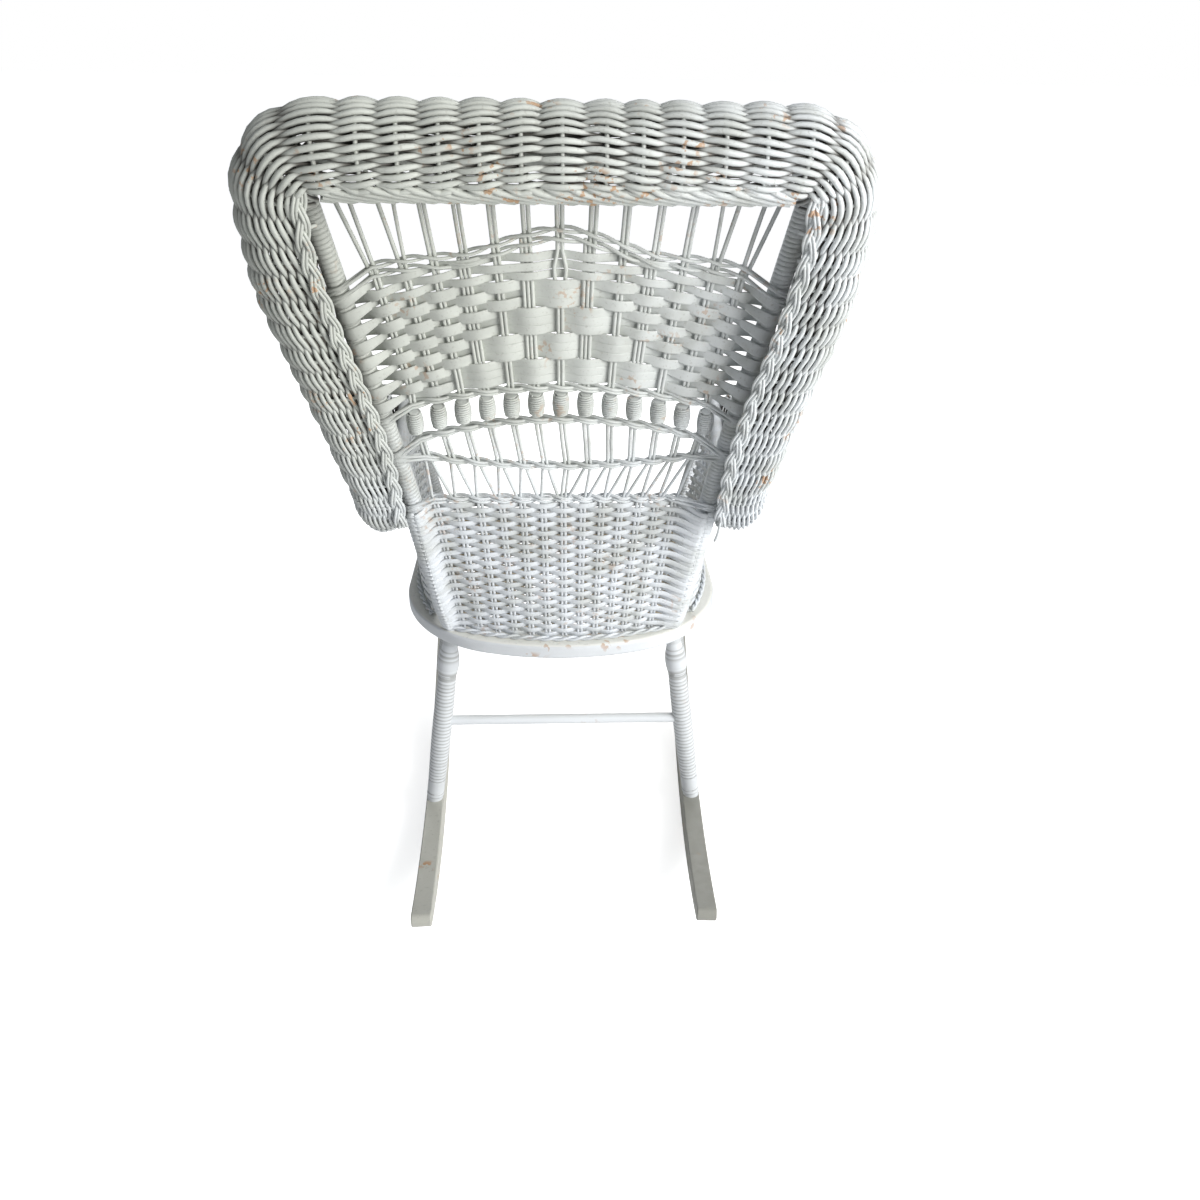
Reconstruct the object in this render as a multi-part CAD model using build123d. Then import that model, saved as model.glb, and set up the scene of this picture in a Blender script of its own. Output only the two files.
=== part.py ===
from build123d import *
import math
import os

# Painted wicker rocking chair, in millimetres: X to the sitter's left, Y to the rear, Z up,
# with the origin on the floor under the middle of the rockers.

# General fits
fit = 0.15
panel_thick = 5.5

# Seat frame: a rounded wooden rim round a cane panel
seat_top = 378.0
seat_thick = 21.0
seat_half_width = 231.0
seat_rear_y = 174.5
seat_front_y = -278.5
rear_bow_radius = 380.0
rear_corner_radius = 172.0
front_corner_radius = 90.0
rim_width = 58.0
rim_edge_round = 5.0
cane_thick = 2.0
rebate_width = 9.0
spline_width = 5.0
spline_depth = 6.0
spline_proud = 1.2

# Rockers
rocker_length = 767.0
rocker_width = 27.0
rocker_radius = 870.0
rocker_thick = 44.0
rocker_tip_thick = 20.0
rocker_tip_round = 7.0
rocker_edge_round = 2.0
rocker_mid_x = 210.0
rocker_toe_deg = 2.9
balance_y = 41.0

# Turned legs: foot, collar, ringed barrel and bulb, with a tenon at each end
rear_leg_y = 99.5
rear_leg_top_x = 159.0
front_leg_y = -218.5
front_leg_top_x = 172.0
foot_radius = 12.2
foot_length = 17.0
foot_ring_radius = 13.6
collar_radius = 13.3
collar_length = 24.0
barrel_end_radius = 13.4
barrel_mid_radius = 14.9
barrel_rings = 31
ring_depth = 0.9
bulb_length = 74.0
bulb_radius = 15.7
neck_radius = 10.5
neck_flare = 1.0
top_tenon_radius = 9.0
top_tenon_length = 11.0
foot_tenon_radius = 8.0
foot_tenon_length = 24.0

# Stretchers
stretcher_radius = 7.3
stretcher_tenon_depth = 9.0
rear_stretcher_z = 198.0
front_stretcher_z = 198.0
side_stretcher_z = 150.0

# Back: posts that lean out and back, with the openwork in one leaning plane above the knee
back_tilt_deg = 13.8
knee_y = 169.5
knee_z = 597.0
post_radius = 9.6
wrap_thick = 1.6
post_foot_x = 155.0
post_foot_y = 120.0
post_knee_x = 185.0
post_splay = 0.1657
post_top_t = 372.0
post_bend_radius = 900.0
post_socket_depth = 8.0
hoop_corner_radius = 32.0

# Rolled edge: a hollow woven roll, open on its inner side
roll_wall = 4.5
roll_rear_angle = 150.0
top_roll_radius = 46.0
top_roll_rise = 53.0
top_roll_set_back = 28.0
top_rib_pitch = 37.0
top_rib_depth = 3.2
top_front_angle = -125.0
wing_top_front_angle = -115.0
side_front_angle = -135.0
roll_corner_radius = 46.0
roll_corner_s = 220.0
corner_steps = 6
wing_set_back = 24.0
wing_mid = [(290.0, 269.7, 41.3, -125.0), (165.0, 247.8, 34.7, -125.0)]
wing_foot = (40.0, 226.0, 28.0)
elbow_radius = 55.0
elbow_steps = 5
arm_mid = [(50.0, 246.0, 592.0, 29.0), (-60.0, 268.0, 594.0, 30.0)]
arm_tip = (-158.0, 276.0, 592.0, 30.0)
front_bend_radius = 60.0
front_bend_steps = 5
arm_front_mid = (247.0, 460.0, 21.0)
arm_front_foot = (214.0, 12.0)
top_border_radius = 5.0
wing_braid_radius = 6.0
arm_braid_radius = 4.5

# Arm poles
arm_pole_radius = 8.0
arm_pole_z = 600.0
arm_pole_mid = (222.0, 0.0)
arm_pole_tip = (245.0, -212.0)
arm_pole_foot_x = 193.0
arm_pole_bend = 30.0
arm_pole_sweep = 400.0

# Twisted rails of the back, each an arc given by its ends and its middle
rail_radius = 4.8
# The arch falls from its middle to a shoulder on each side, then on to the posts
arch_end_t = 283.0
arch_mid_t = 338.0
arch_shoulder_t = 309.0
arch_shoulder_share = 0.5
arch_shoulder_slope = -0.06
arch_end_slope = -0.5
splint_slack = 0.4
upper_bead_end_t = 126.0
upper_bead_mid_t = 160.0
lower_bead_end_t = 79.0
lower_bead_mid_t = 117.5
sag_end_t = 73.0
sag_mid_t = 50.8

# Spokes in pairs, closer together lower down
spoke_radius = 2.4
spoke_pairs = 13
pair_gap = 0.3
spoke_pitch_low = 28.3
spoke_pitch_high = 35.6
fan_lean = 9.0

# Barrel beads, each wound with one reed
bead_turns = 10
bead_reed_radius = 1.15
bead_pitch = 2.75
bead_end_radius = 7.4
bead_mid_radius = 8.5
bead_points_per_turn = 4

# Lower panel and side panels
panel_base_y = 152.0
panel_top_bow = 4.0
base_border_radius = 4.0
border_stand_off = 2.5
panel_rib_depth = 1.6
lower_panel_ribs = 13
side_panel_ribs = 12
side_base = [(178.0, 90.0), (212.0, -40.0), (199.0, -198.0)]
side_top = [(191.0, 148.0), (221.0, 0.0), (241.0, -178.0)]

seat_bottom = seat_top - seat_thick
top_roll_t = post_top_t + top_roll_rise
wrap_radius = post_radius + wrap_thick
arm_wrap_radius = arm_pole_radius + wrap_thick
tilt = math.radians(back_tilt_deg)
up_dir = Vector(0, math.sin(tilt), math.cos(tilt))
rear_dir = Vector(0, math.cos(tilt), -math.sin(tilt))
side_dir = Vector(1, 0, 0)
down_dir = Vector(0, 0, -1)
back_plane = Plane(origin=(0, knee_y, knee_z), x_dir=(1, 0, 0), z_dir=tuple(rear_dir * -1))


# Small helpers

def back_point(s, t, r=0.0):
    """Point on the leaning back: s sideways, t up the back, r behind it."""
    return Vector(s, knee_y, knee_z) + up_dir * t + rear_dir * r


def rod(start, end, radius):
    """Round rod between two points."""
    axis = Vector(end) - Vector(start)
    place = Plane(origin=start, z_dir=axis)
    return place * Cylinder(radius, axis.length, align=(Align.CENTER, Align.CENTER, Align.MIN))


def tube(path, radius):
    """Round pole along a path."""
    return sweep(Plane(origin=path @ 0, z_dir=path % 0) * Circle(radius), path=path)


def sleeve(path, inner, outer):
    """Hollow wrapping along a path."""
    return tube(path, outer) - tube(path, inner)


def mirrored(solid):
    return mirror(solid, about=Plane.YZ)


def arc_height(s, half_width, end_t, mid_t):
    """Height on a rail's arc at a sideways place."""
    rise = mid_t - end_t
    radius = (half_width ** 2 + rise ** 2) / (2 * abs(rise))
    drop = radius - math.sqrt(radius ** 2 - s ** 2)
    return mid_t - math.copysign(drop, rise)


def arc_slope(s, half_width, end_t, mid_t):
    step = 1.0
    low = arc_height(s - step, half_width, end_t, mid_t)
    high = arc_height(s + step, half_width, end_t, mid_t)
    return (high - low) / (2 * step)


class Arch:
    """Curve over the back, the same on both sides: middle, shoulder and end as (place, height, slope)."""

    def __init__(self, middle, shoulder, end):
        self.middle = middle
        self.shoulder = shoulder
        self.end = end

    def controls(self, start, stop):
        """Four points that set the curve from one place to the next."""
        third = (stop[0] - start[0]) / 3
        return [(start[0], start[1]), (start[0] + third, start[1] + start[2] * third),
                (stop[0] - third, stop[1] - stop[2] * third), (stop[0], stop[1])]

    def pieces(self):
        return [self.controls(self.middle, self.shoulder), self.controls(self.shoulder, self.end)]

    def height(self, s):
        inner, outer = self.pieces()
        piece = inner if abs(s) <= self.shoulder[0] else outer
        share = (abs(s) - piece[0][0]) / (piece[3][0] - piece[0][0])
        rest = 1 - share
        weights = (rest ** 3, 3 * rest ** 2 * share, 3 * rest * share ** 2, share ** 3)
        return sum(weight * point[1] for weight, point in zip(weights, piece))

    def slope(self, s):
        step = 1.0
        return (self.height(s + step) - self.height(s - step)) / (2 * step)

    def curve(self):
        right = [Bezier(*[(-s, t) for s, t in reversed(piece)]) for piece in reversed(self.pieces())]
        left = [Bezier(*piece) for piece in self.pieces()]
        return right + left


def post_s(t):
    """Sideways place of the post's centre line above the knee."""
    return post_knee_x + post_splay * t


def spoke_s(index, t):
    """Sideways place of a spoke pair: parallel below the beads, fanned above them."""
    share = max(0.0, (t - upper_bead_mid_t) / (top_roll_t - upper_bead_mid_t))
    pitch = spoke_pitch_low + (spoke_pitch_high - spoke_pitch_low) * share
    return index * pitch


# Seat

def seat_outline():
    """Rounded outline: bowed rear, wide rear corners, straight sides, smaller front corners."""
    width, bow = seat_half_width, rear_bow_radius
    corner, front = rear_corner_radius, front_corner_radius
    half = math.asin((width - corner) / (bow - corner))
    half_deg = math.degrees(half)
    bow_y = seat_rear_y - bow
    corner_x = width - corner
    corner_y = bow_y + math.cos(half) * (bow - corner)
    front_y = seat_front_y + front
    edges = [
        CenterArc((0, bow_y), bow, 90 - half_deg, 2 * half_deg),
        CenterArc((-corner_x, corner_y), corner, 90 + half_deg, 90 - half_deg),
        Line((-width, corner_y), (-width, front_y)),
        CenterArc((front - width, front_y), front, 180, 90),
        Line((front - width, seat_front_y), (width - front, seat_front_y)),
        CenterArc((width - front, front_y), front, 270, 90),
        Line((width, front_y), (width, corner_y)),
        CenterArc((corner_x, corner_y), corner, 0, 90 - half_deg),
    ]
    return make_face(edges)


outline = seat_outline()
opening = offset(outline, amount=-rim_width)
rebate = offset(opening, amount=rebate_width)
groove = offset(rebate, amount=spline_width)


def seat_blank():
    blank = Pos(0, 0, seat_bottom) * extrude(outline, seat_thick)
    long_edges = blank.edges().filter_by(GeomType.LINE).filter_by(Axis.Z)
    rim_edges = [edge for edge in blank.edges() if edge not in long_edges]
    return fillet(rim_edges, rim_edge_round)


def cane_panel():
    sheet = extrude(offset(rebate, amount=-fit), cane_thick)
    return Pos(0, 0, seat_top - cane_thick) * sheet


def cane_spline():
    ring = offset(groove, amount=-fit) - offset(rebate, amount=fit)
    return Pos(0, 0, seat_top - spline_depth + fit) * extrude(ring, spline_depth + spline_proud)


def cut_seat(blank, sockets):
    """Rim with its opening, rebate, groove and the sockets of legs, posts and arm poles."""
    rim = blank - Pos(0, 0, seat_bottom) * extrude(opening, seat_thick)
    rim -= Pos(0, 0, seat_top - cane_thick - fit) * extrude(rebate, seat_thick)
    rim -= Pos(0, 0, seat_top - spline_depth) * extrude(groove - rebate, seat_thick)
    for socket in sockets:
        rim -= socket
    return rim


# Rockers

def rocker_bottom(y):
    return rocker_radius - math.sqrt(rocker_radius ** 2 - (y - balance_y) ** 2)


def rocker_top_arc():
    half = rocker_length / 2
    front = (-half, rocker_bottom(-half) + rocker_tip_thick)
    rear = (half, rocker_bottom(half) + rocker_tip_thick)
    return ThreePointArc(front, (balance_y, rocker_thick), rear)


def rocker_top(y):
    """Height of the rocker's top edge, from the arc through its three points."""
    arc = rocker_top_arc()
    centre = arc.arc_center
    return centre.Y - math.sqrt(arc.radius ** 2 - (y - centre.X) ** 2)


def rocker_x(y):
    return rocker_mid_x - y * math.tan(math.radians(rocker_toe_deg))


def rocker_blank():
    half = rocker_length / 2
    bottom = ThreePointArc((-half, rocker_bottom(-half)), (balance_y, 0), (half, rocker_bottom(half)))
    top = rocker_top_arc()
    outline_edges = [bottom, top, Line(bottom @ 0, top @ 0), Line(bottom @ 1, top @ 1)]
    side = make_face(outline_edges)
    solid = extrude(Plane.YZ * side, rocker_width / 2, both=True)
    ends = solid.faces().filter_by(Plane.XZ)
    solid = fillet(ends.edges().filter_by(Axis.X), rocker_tip_round)
    sides = solid.faces().filter_by(Plane.YZ)
    solid = fillet(sides.edges(), rocker_edge_round)
    return Pos(rocker_mid_x, 0, 0) * Rot(0, 0, rocker_toe_deg) * solid


# Legs and stretchers

class Leg:
    """One turned leg: where it stands, its axis and its turned profile."""

    def __init__(self, y, top_x):
        self.foot = Vector(rocker_x(y), y, rocker_top(y))
        self.head = Vector(top_x, y, seat_bottom)
        self.axis = self.head - self.foot
        self.place = Plane(origin=self.foot, z_dir=self.axis)

    def at_height(self, z):
        share = (z - self.foot.Z) / (self.head.Z - self.foot.Z)
        return self.foot + self.axis * share

    def turned(self):
        length = self.axis.length
        spare = foot_radius / 3
        collar_low = foot_length
        barrel_low = collar_low + collar_length
        barrel_high = length - bulb_length
        ring = (barrel_high - barrel_low) / barrel_rings
        edges = [Line((0, -spare), (foot_radius, -spare))]
        edges.append(Line((foot_radius, -spare), (foot_radius, foot_length * 0.4)))
        edges.append(ThreePointArc(edges[-1] @ 1, (foot_ring_radius, foot_length * 0.65),
                                   (foot_radius, foot_length * 0.9)))
        edges.append(Line(edges[-1] @ 1, (collar_radius, collar_low)))
        edges.append(Line((collar_radius, collar_low), (collar_radius, barrel_low)))
        edges.append(Line((collar_radius, barrel_low), (barrel_end_radius - ring_depth, barrel_low)))
        for number in range(barrel_rings):
            crest = barrel_radius((number + 0.5) / barrel_rings)
            valley = barrel_radius((number + 1) / barrel_rings) - ring_depth
            low = barrel_low + ring * number
            edges.append(ThreePointArc(edges[-1] @ 1, (crest, low + ring / 2), (valley, low + ring)))
        edges.append(Line(edges[-1] @ 1, (barrel_end_radius, barrel_high)))
        edges.append(ThreePointArc(edges[-1] @ 1, (bulb_radius, barrel_high + bulb_length * 0.28),
                                   (neck_radius + neck_flare, barrel_high + bulb_length * 0.62)))
        edges.append(Line(edges[-1] @ 1, (neck_radius, barrel_high + bulb_length * 0.75)))
        edges.append(Line(edges[-1] @ 1, (neck_radius, length + spare)))
        edges.append(Line(edges[-1] @ 1, (0, length + spare)))
        edges.append(Line(edges[-1] @ 1, (0, -spare)))
        return self.place * revolve(Plane.XZ * make_face(edges), Axis.Z)

    def foot_tenon(self, clearance=0.0):
        along = self.axis.normalized()
        end = self.foot - along * (foot_tenon_length + clearance)
        return rod(self.foot + along, end, foot_tenon_radius + clearance)

    def head_tenon(self, clearance=0.0):
        along = self.axis.normalized()
        end = self.head + along * (top_tenon_length + clearance)
        return rod(self.head - along, end, top_tenon_radius + clearance)

    def solid(self, rocker, seat, bores):
        body = self.turned() - rocker - seat
        body = body + self.foot_tenon() + self.head_tenon()
        for bore in bores:
            body -= bore
        return body


def barrel_radius(share):
    return barrel_end_radius + (barrel_mid_radius - barrel_end_radius) * math.sin(math.pi * share)


def stretcher(start_leg, end_leg, z, clearance=0.0):
    """Rod between two legs, sunk into each by its tenon depth."""
    start = start_leg.at_height(z)
    end = end_leg.at_height(z)
    along = (end - start).normalized()
    inset = barrel_mid_radius - stretcher_tenon_depth - clearance
    return rod(start + along * inset, end - along * inset, stretcher_radius + clearance)


# Back posts, hoop and arm poles (left side; the right side is mirrored)

def post_path(low_z, top_t):
    foot = Vector(post_foot_x, post_foot_y, seat_top)
    knee = back_point(post_knee_x, 0)
    slope = (knee - foot) / (knee.Z - foot.Z)
    start = foot + slope * (low_z - seat_top)
    end = back_point(post_s(top_t), top_t)
    return FilletPolyline(start, knee, end, radius=post_bend_radius)


def hoop_t():
    """Height of the hoop's top bar, where it touches the inside of the top roll."""
    reach = top_roll_radius - roll_wall - post_radius - 3 * fit
    return top_roll_t - math.sqrt(reach ** 2 - top_roll_set_back ** 2)


def hoop_path():
    low, high = post_top_t, hoop_t()
    points = [back_point(-post_s(low), low), back_point(-post_s(high), high),
              back_point(post_s(high), high), back_point(post_s(low), low)]
    return FilletPolyline(*points, radius=hoop_corner_radius)


def arm_path(low_z):
    """Pole from the back post, forward along the arm and down to the seat."""
    rear = back_point(post_knee_x, (arm_pole_z - knee_z) / math.cos(tilt))
    middle = Vector(arm_pole_mid[0], arm_pole_mid[1], arm_pole_z)
    tip = Vector(arm_pole_tip[0], arm_pole_tip[1], arm_pole_z)
    lean = (arm_pole_tip[0] - arm_pole_foot_x) / (arm_pole_z - seat_top)
    foot = Vector(arm_pole_foot_x - lean * (seat_top - low_z), arm_pole_tip[1], low_z)
    return FilletPolyline(rear, middle, tip, foot, radius=[arm_pole_sweep, arm_pole_bend])


# Rolled edge

class Station:
    """One cross-section of the roll: its centre, outward and hidden-side directions and radius."""

    def __init__(self, centre, outward, hidden, radius, front_angle=side_front_angle):
        self.plane = Plane(origin=centre, x_dir=outward, z_dir=Vector(outward).cross(Vector(hidden)))
        self.radius = radius
        self.front_angle = front_angle

    def shell(self):
        span = roll_rear_angle - self.front_angle
        outer = CenterArc((0, 0), self.radius, self.front_angle, span)
        inner = CenterArc((0, 0), self.radius - roll_wall, self.front_angle, span)
        edges = [outer, Line(outer @ 1, inner @ 1), inner, Line(inner @ 0, outer @ 0)]
        return self.plane * make_face(edges)

    def edging(self, radius):
        """Round edging that sits against the roll's rear lip."""
        middle = self.radius - roll_wall / 2
        angle = math.radians(roll_rear_angle) + (radius + fit) / middle
        place = Pos(middle * math.cos(angle), middle * math.sin(angle))
        return self.plane * place * Circle(radius)


def roll_shell(stations):
    return loft([station.shell() for station in stations], ruled=True)


def ribbed_edge(length):
    """Top roll's outer edge along its axis: a bulge over each stake, half a bulge at each end."""
    count = round(length / top_rib_pitch)
    half = length / count / 2
    bulge_radius = (half ** 2 + top_rib_depth ** 2) / (2 * top_rib_depth)

    def place(along, crest):
        drop = bulge_radius - math.sqrt(bulge_radius ** 2 - (along - crest) ** 2)
        return along, top_roll_radius - drop

    edges = []
    for number in range(count + 1):
        crest = 2 * half * number
        low, high = max(0, crest - half), min(length, crest + half)
        edges.append(ThreePointArc(*[place(along, crest) for along in (low, (low + high) / 2, high)]))
    return edges


def ribbed_top_roll():
    """Top roll turned about its own axis, so that each stake under the weave makes a rib."""
    length = 2 * roll_corner_s
    inner = top_roll_radius - roll_wall
    outer = ribbed_edge(length)
    edges = outer + [Line(outer[-1] @ 1, (length, inner)), Line((length, inner), (0, inner)),
                     Line((0, inner), outer[0] @ 0)]
    start = math.radians(top_front_angle)
    radial = up_dir * math.cos(start) + rear_dir * math.sin(start)
    origin = back_point(roll_corner_s, top_roll_t, top_roll_set_back)
    section = Plane(origin=origin, x_dir=-side_dir, z_dir=(-side_dir).cross(radial)) * make_face(edges)
    return revolve(section, Axis(origin, -side_dir), roll_rear_angle - top_front_angle)


def roll_edging(stations, radius):
    return loft([station.edging(radius) for station in stations], ruled=True)


def top_stations():
    ends = (roll_corner_s, -roll_corner_s)
    centres = [back_point(s, top_roll_t, top_roll_set_back) for s in ends]
    return [Station(centre, up_dir, rear_dir, top_roll_radius, top_front_angle) for centre in centres]


def corner_stations():
    """Quarter turn from the top roll's end down to the wing's top."""
    stations = []
    for step in range(corner_steps + 1):
        share = step / corner_steps
        turn = math.radians(90 * (1 - share))
        s = roll_corner_s + roll_corner_radius * math.cos(turn)
        t = top_roll_t + roll_corner_radius * (math.sin(turn) - 1)
        r = top_roll_set_back + (wing_set_back - top_roll_set_back) * share
        outward = side_dir * math.cos(turn) + up_dir * math.sin(turn)
        front = top_front_angle + (wing_top_front_angle - top_front_angle) * share
        stations.append(Station(back_point(s, t, r), outward, rear_dir, top_roll_radius, front))
    return stations


def wing_stations():
    rows = wing_mid + [(*wing_foot, side_front_angle)]
    stations = [corner_stations()[-1]]
    for t, s, radius, front in rows:
        stations.append(Station(back_point(s, t, wing_set_back), side_dir, rear_dir, radius, front))
    return stations


def elbow_stations():
    """Bend from the wing's foot to the arm, which runs level."""
    t, s, radius = wing_foot
    start = back_point(s, t, wing_set_back)
    centre = start - rear_dir * elbow_radius
    stations = []
    for step in range(elbow_steps + 1):
        angle = tilt + (math.pi / 2 - tilt) * step / elbow_steps
        hidden = Vector(0, math.cos(angle), -math.sin(angle))
        stations.append(Station(centre + hidden * elbow_radius, side_dir, hidden, radius))
    return stations


def arm_stations():
    stations = elbow_stations()
    for y, x, z, radius in arm_mid + [arm_tip]:
        stations.append(Station(Vector(x, y, z), side_dir, down_dir, radius))
    return stations


def front_stations():
    """Bend at the arm's front, then down to the seat, growing slimmer."""
    y, x, z, radius = arm_tip
    centre = Vector(x, y, z - front_bend_radius)
    stations = []
    for step in range(front_bend_steps + 1):
        angle = math.pi / 2 * step / front_bend_steps
        hidden = Vector(0, math.sin(angle), -math.cos(angle))
        stations.append(Station(centre - hidden * front_bend_radius, side_dir, hidden, radius))
    rear = Vector(0, 1, 0)
    mid_x, mid_z, mid_radius = arm_front_mid
    foot_x, foot_radius_here = arm_front_foot
    front_y = y - front_bend_radius
    stations.append(Station(Vector(mid_x, front_y, mid_z), side_dir, rear, mid_radius))
    stations.append(Station(Vector(foot_x, front_y, seat_top + fit), side_dir, rear, foot_radius_here))
    return stations


# Openwork of the back

def rail(end_t, mid_t, post_cut):
    half = post_s(end_t)
    arc = ThreePointArc((-half, end_t), (0, mid_t), (half, end_t))
    return tube(back_plane * arc, rail_radius) - post_cut - mirrored(post_cut)


def arched_rail(arch, post_cut):
    return tube(back_plane * Wire(arch.curve()), rail_radius) - post_cut - mirrored(post_cut)


def arch_over_back():
    half = post_s(arch_end_t)
    return Arch((0.0, arch_mid_t, 0.0), (half * arch_shoulder_share, arch_shoulder_t, arch_shoulder_slope),
                (half, arch_end_t, arch_end_slope))


def straight_rail(post_cut):
    half = post_s(0)
    return rod(back_point(-half, 0), back_point(half, 0), rail_radius) - post_cut - mirrored(post_cut)


def rail_height(shape, s):
    """Height and slope of a rail: an arch, an arc's (end, middle) pair or a straight rail's height."""
    if isinstance(shape, float):
        return shape, 0.0
    if isinstance(shape, Arch):
        return shape.height(s), shape.slope(s)
    half = post_s(shape[0])
    return arc_height(s, half, *shape), arc_slope(s, half, *shape)


def clear_of_rail(slope, lean):
    """Distance from a sloping rail's centre line to a leaning spoke's end."""
    return rail_radius * math.sqrt(1 + slope ** 2) + spoke_radius * (abs(slope) + abs(lean)) + fit


def pair_offsets():
    half = spoke_radius + pair_gap / 2
    return (-half, half)


def spoke_numbers():
    return range(-(spoke_pairs // 2), spoke_pairs // 2 + 1)


def spokes(low_shape, high_shape, lean=0.0):
    """Pairs of spokes between two rails; with a lean, the outer one of each pair slants inwards."""
    rods = []
    for number in spoke_numbers():
        for offset_s in pair_offsets():
            high_guess = rail_height(high_shape, spoke_s(number, 0))[0]
            s_high = spoke_s(number, high_guess) + offset_s
            low_guess = rail_height(low_shape, spoke_s(number, 0))[0]
            s_low = spoke_s(number, low_guess) + offset_s
            if lean and offset_s * (number or 1) < 0:
                s_low -= math.copysign(lean, number or 1)
            t_high, slope_high = rail_height(high_shape, s_high)
            t_low, slope_low = rail_height(low_shape, s_low)
            slant = (s_high - s_low) / (t_high - t_low)
            start = back_point(s_low, t_low + clear_of_rail(slope_low, slant))
            end = back_point(s_high, t_high - clear_of_rail(slope_high, slant))
            rods.append(rod(start, end, spoke_radius))
    return Compound(children=rods)


def under(arch, end_s, gap):
    """Curve below an arch by a gap that is kept square to it, out to a narrower end."""
    knots = []
    for s in (arch.middle[0], arch.shoulder[0], end_s):
        slope = arch.slope(s)
        knots.append((s, arch.height(s) - gap * math.sqrt(1 + slope ** 2), slope))
    return Arch(*knots)


def splint_panel(arch):
    """Flat-reed panel between the arch rail and the upper bead rail, inside the posts."""
    edge_gap = rail_radius + fit
    low_half = post_s(upper_bead_end_t) - wrap_radius * 1.1
    high_half = post_s(arch_end_t) - wrap_radius * 1.1
    low_end = rail_height((upper_bead_end_t, upper_bead_mid_t), low_half)[0] + edge_gap * 1.2
    low = ThreePointArc((-low_half, low_end), (0, upper_bead_mid_t + edge_gap), (low_half, low_end))
    high = under(arch, high_half, edge_gap + splint_slack).curve()
    face = make_face([low, Line(low @ 1, high[-1] @ 1), *high, Line(high[0] @ 0, low @ 0)])
    return extrude(back_plane * face, panel_thick / 2, both=True)


# Barrel beads

def bead_height():
    return bead_turns * bead_pitch


def bead_radius(share):
    return bead_end_radius + (bead_mid_radius - bead_end_radius) * math.sin(math.pi * share)


def winding_point(share):
    angle = 2 * math.pi * bead_turns * share
    radius = bead_radius(share)
    return Vector(radius * math.cos(angle), radius * math.sin(angle), bead_height() * (share - 0.5))


def winding_tangent(share):
    step = 1e-4
    return (winding_point(share + step) - winding_point(share - step)).normalized()


def biarc(start, start_dir, end, end_dir):
    """Two tangent arcs from one point and direction to another."""
    span = end - start
    total = start_dir + end_dir
    a = 2 * start_dir.dot(end_dir) - 2
    b = -2 * span.dot(total)
    c = span.dot(span)
    reach = (-b - math.sqrt(b * b - 4 * a * c)) / (2 * a)
    first = start + start_dir * reach
    second = end - end_dir * reach
    joint = (first + second) / 2
    return [Edge.make_tangent_arc(start, start_dir, joint),
            Edge.make_tangent_arc(joint, (second - first).normalized(), end)]


def winding():
    """One reed wound round a bead, as one unbroken tube with short straight ends."""
    count = bead_turns * bead_points_per_turn
    edges = []
    lead = 2 * bead_reed_radius
    first, last = winding_point(0), winding_point(1)
    edges.append(Edge.make_line(first - winding_tangent(0) * lead, first))
    for number in range(count):
        low, high = number / count, (number + 1) / count
        edges += biarc(winding_point(low), winding_tangent(low), winding_point(high), winding_tangent(high))
    edges.append(Edge.make_line(last, last + winding_tangent(1) * lead))
    path = Wire(edges)
    return tube(path, bead_reed_radius)


def winding_gap():
    """Least gap between neighbouring turns, measured on points."""
    half_turn = 24
    steps = bead_turns * half_turn * 2
    points = [winding_point(step / steps) for step in range(steps + 1)]
    distances = [(points[i] - points[j]).length
                 for i in range(0, steps, bead_turns) for j in range(i + half_turn, steps + 1)]
    return min(distances) - 2 * bead_reed_radius


def bead_core():
    """Barrel inside the winding, bored for its pair of spokes."""
    shrink = bead_reed_radius + fit
    half = bead_height() / 2
    bore = 2 * spoke_radius + pair_gap / 2 + fit
    end = (bead_end_radius - shrink, half)
    wall = ThreePointArc((end[0], -half), (bead_mid_radius - shrink, 0), end)
    edges = [wall, Line(end, (bore, half)), Line((bore, half), (bore, -half)), Line((bore, -half), wall @ 0)]
    return revolve(Plane.XZ * make_face(edges), Axis.Z)


def bead_places():
    places = []
    for number in spoke_numbers():
        s = spoke_s(number, 0)
        low = rail_height((lower_bead_end_t, lower_bead_mid_t), s)[0]
        high = rail_height((upper_bead_end_t, upper_bead_mid_t), s)[0]
        places.append(Plane(origin=back_point(s, (low + high) / 2), x_dir=(1, 0, 0), z_dir=up_dir))
    return places


# Lower panel, side panels and the border at the seat

def post_at(z):
    """Centre of the post at a height between the seat and the knee."""
    foot = Vector(post_foot_x, post_foot_y, seat_top)
    knee = back_point(post_knee_x, 0)
    return foot + (knee - foot) * ((z - foot.Z) / (knee.Z - foot.Z))


def ribbed_side(line, offset, ribs):
    """One side of a strip: an arc that bulges over each stake, between shallow valleys."""
    valley = offset * (1 - panel_rib_depth / offset.length)
    edges = []
    for number in range(ribs):
        low, crest, high = [line @ ((number + part) / ribs) for part in (0, 0.5, 1)]
        edges.append(ThreePointArc(low + valley, crest + offset, high + valley))
    return edges


def strip(points, half, direction, z, ribs):
    """Level strip along an arc through three plan points, thick along one direction, with ribs."""
    line = ThreePointArc(*[Vector(x, y, z) for x, y in points])
    near, far = [ribbed_side(line, Vector(*direction) * side, ribs) for side in (half, -half)]
    ends = [Line(near[0] @ 0, far[0] @ 0), Line(near[-1] @ 1, far[-1] @ 1)]
    return make_face(near + far + ends)


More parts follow.
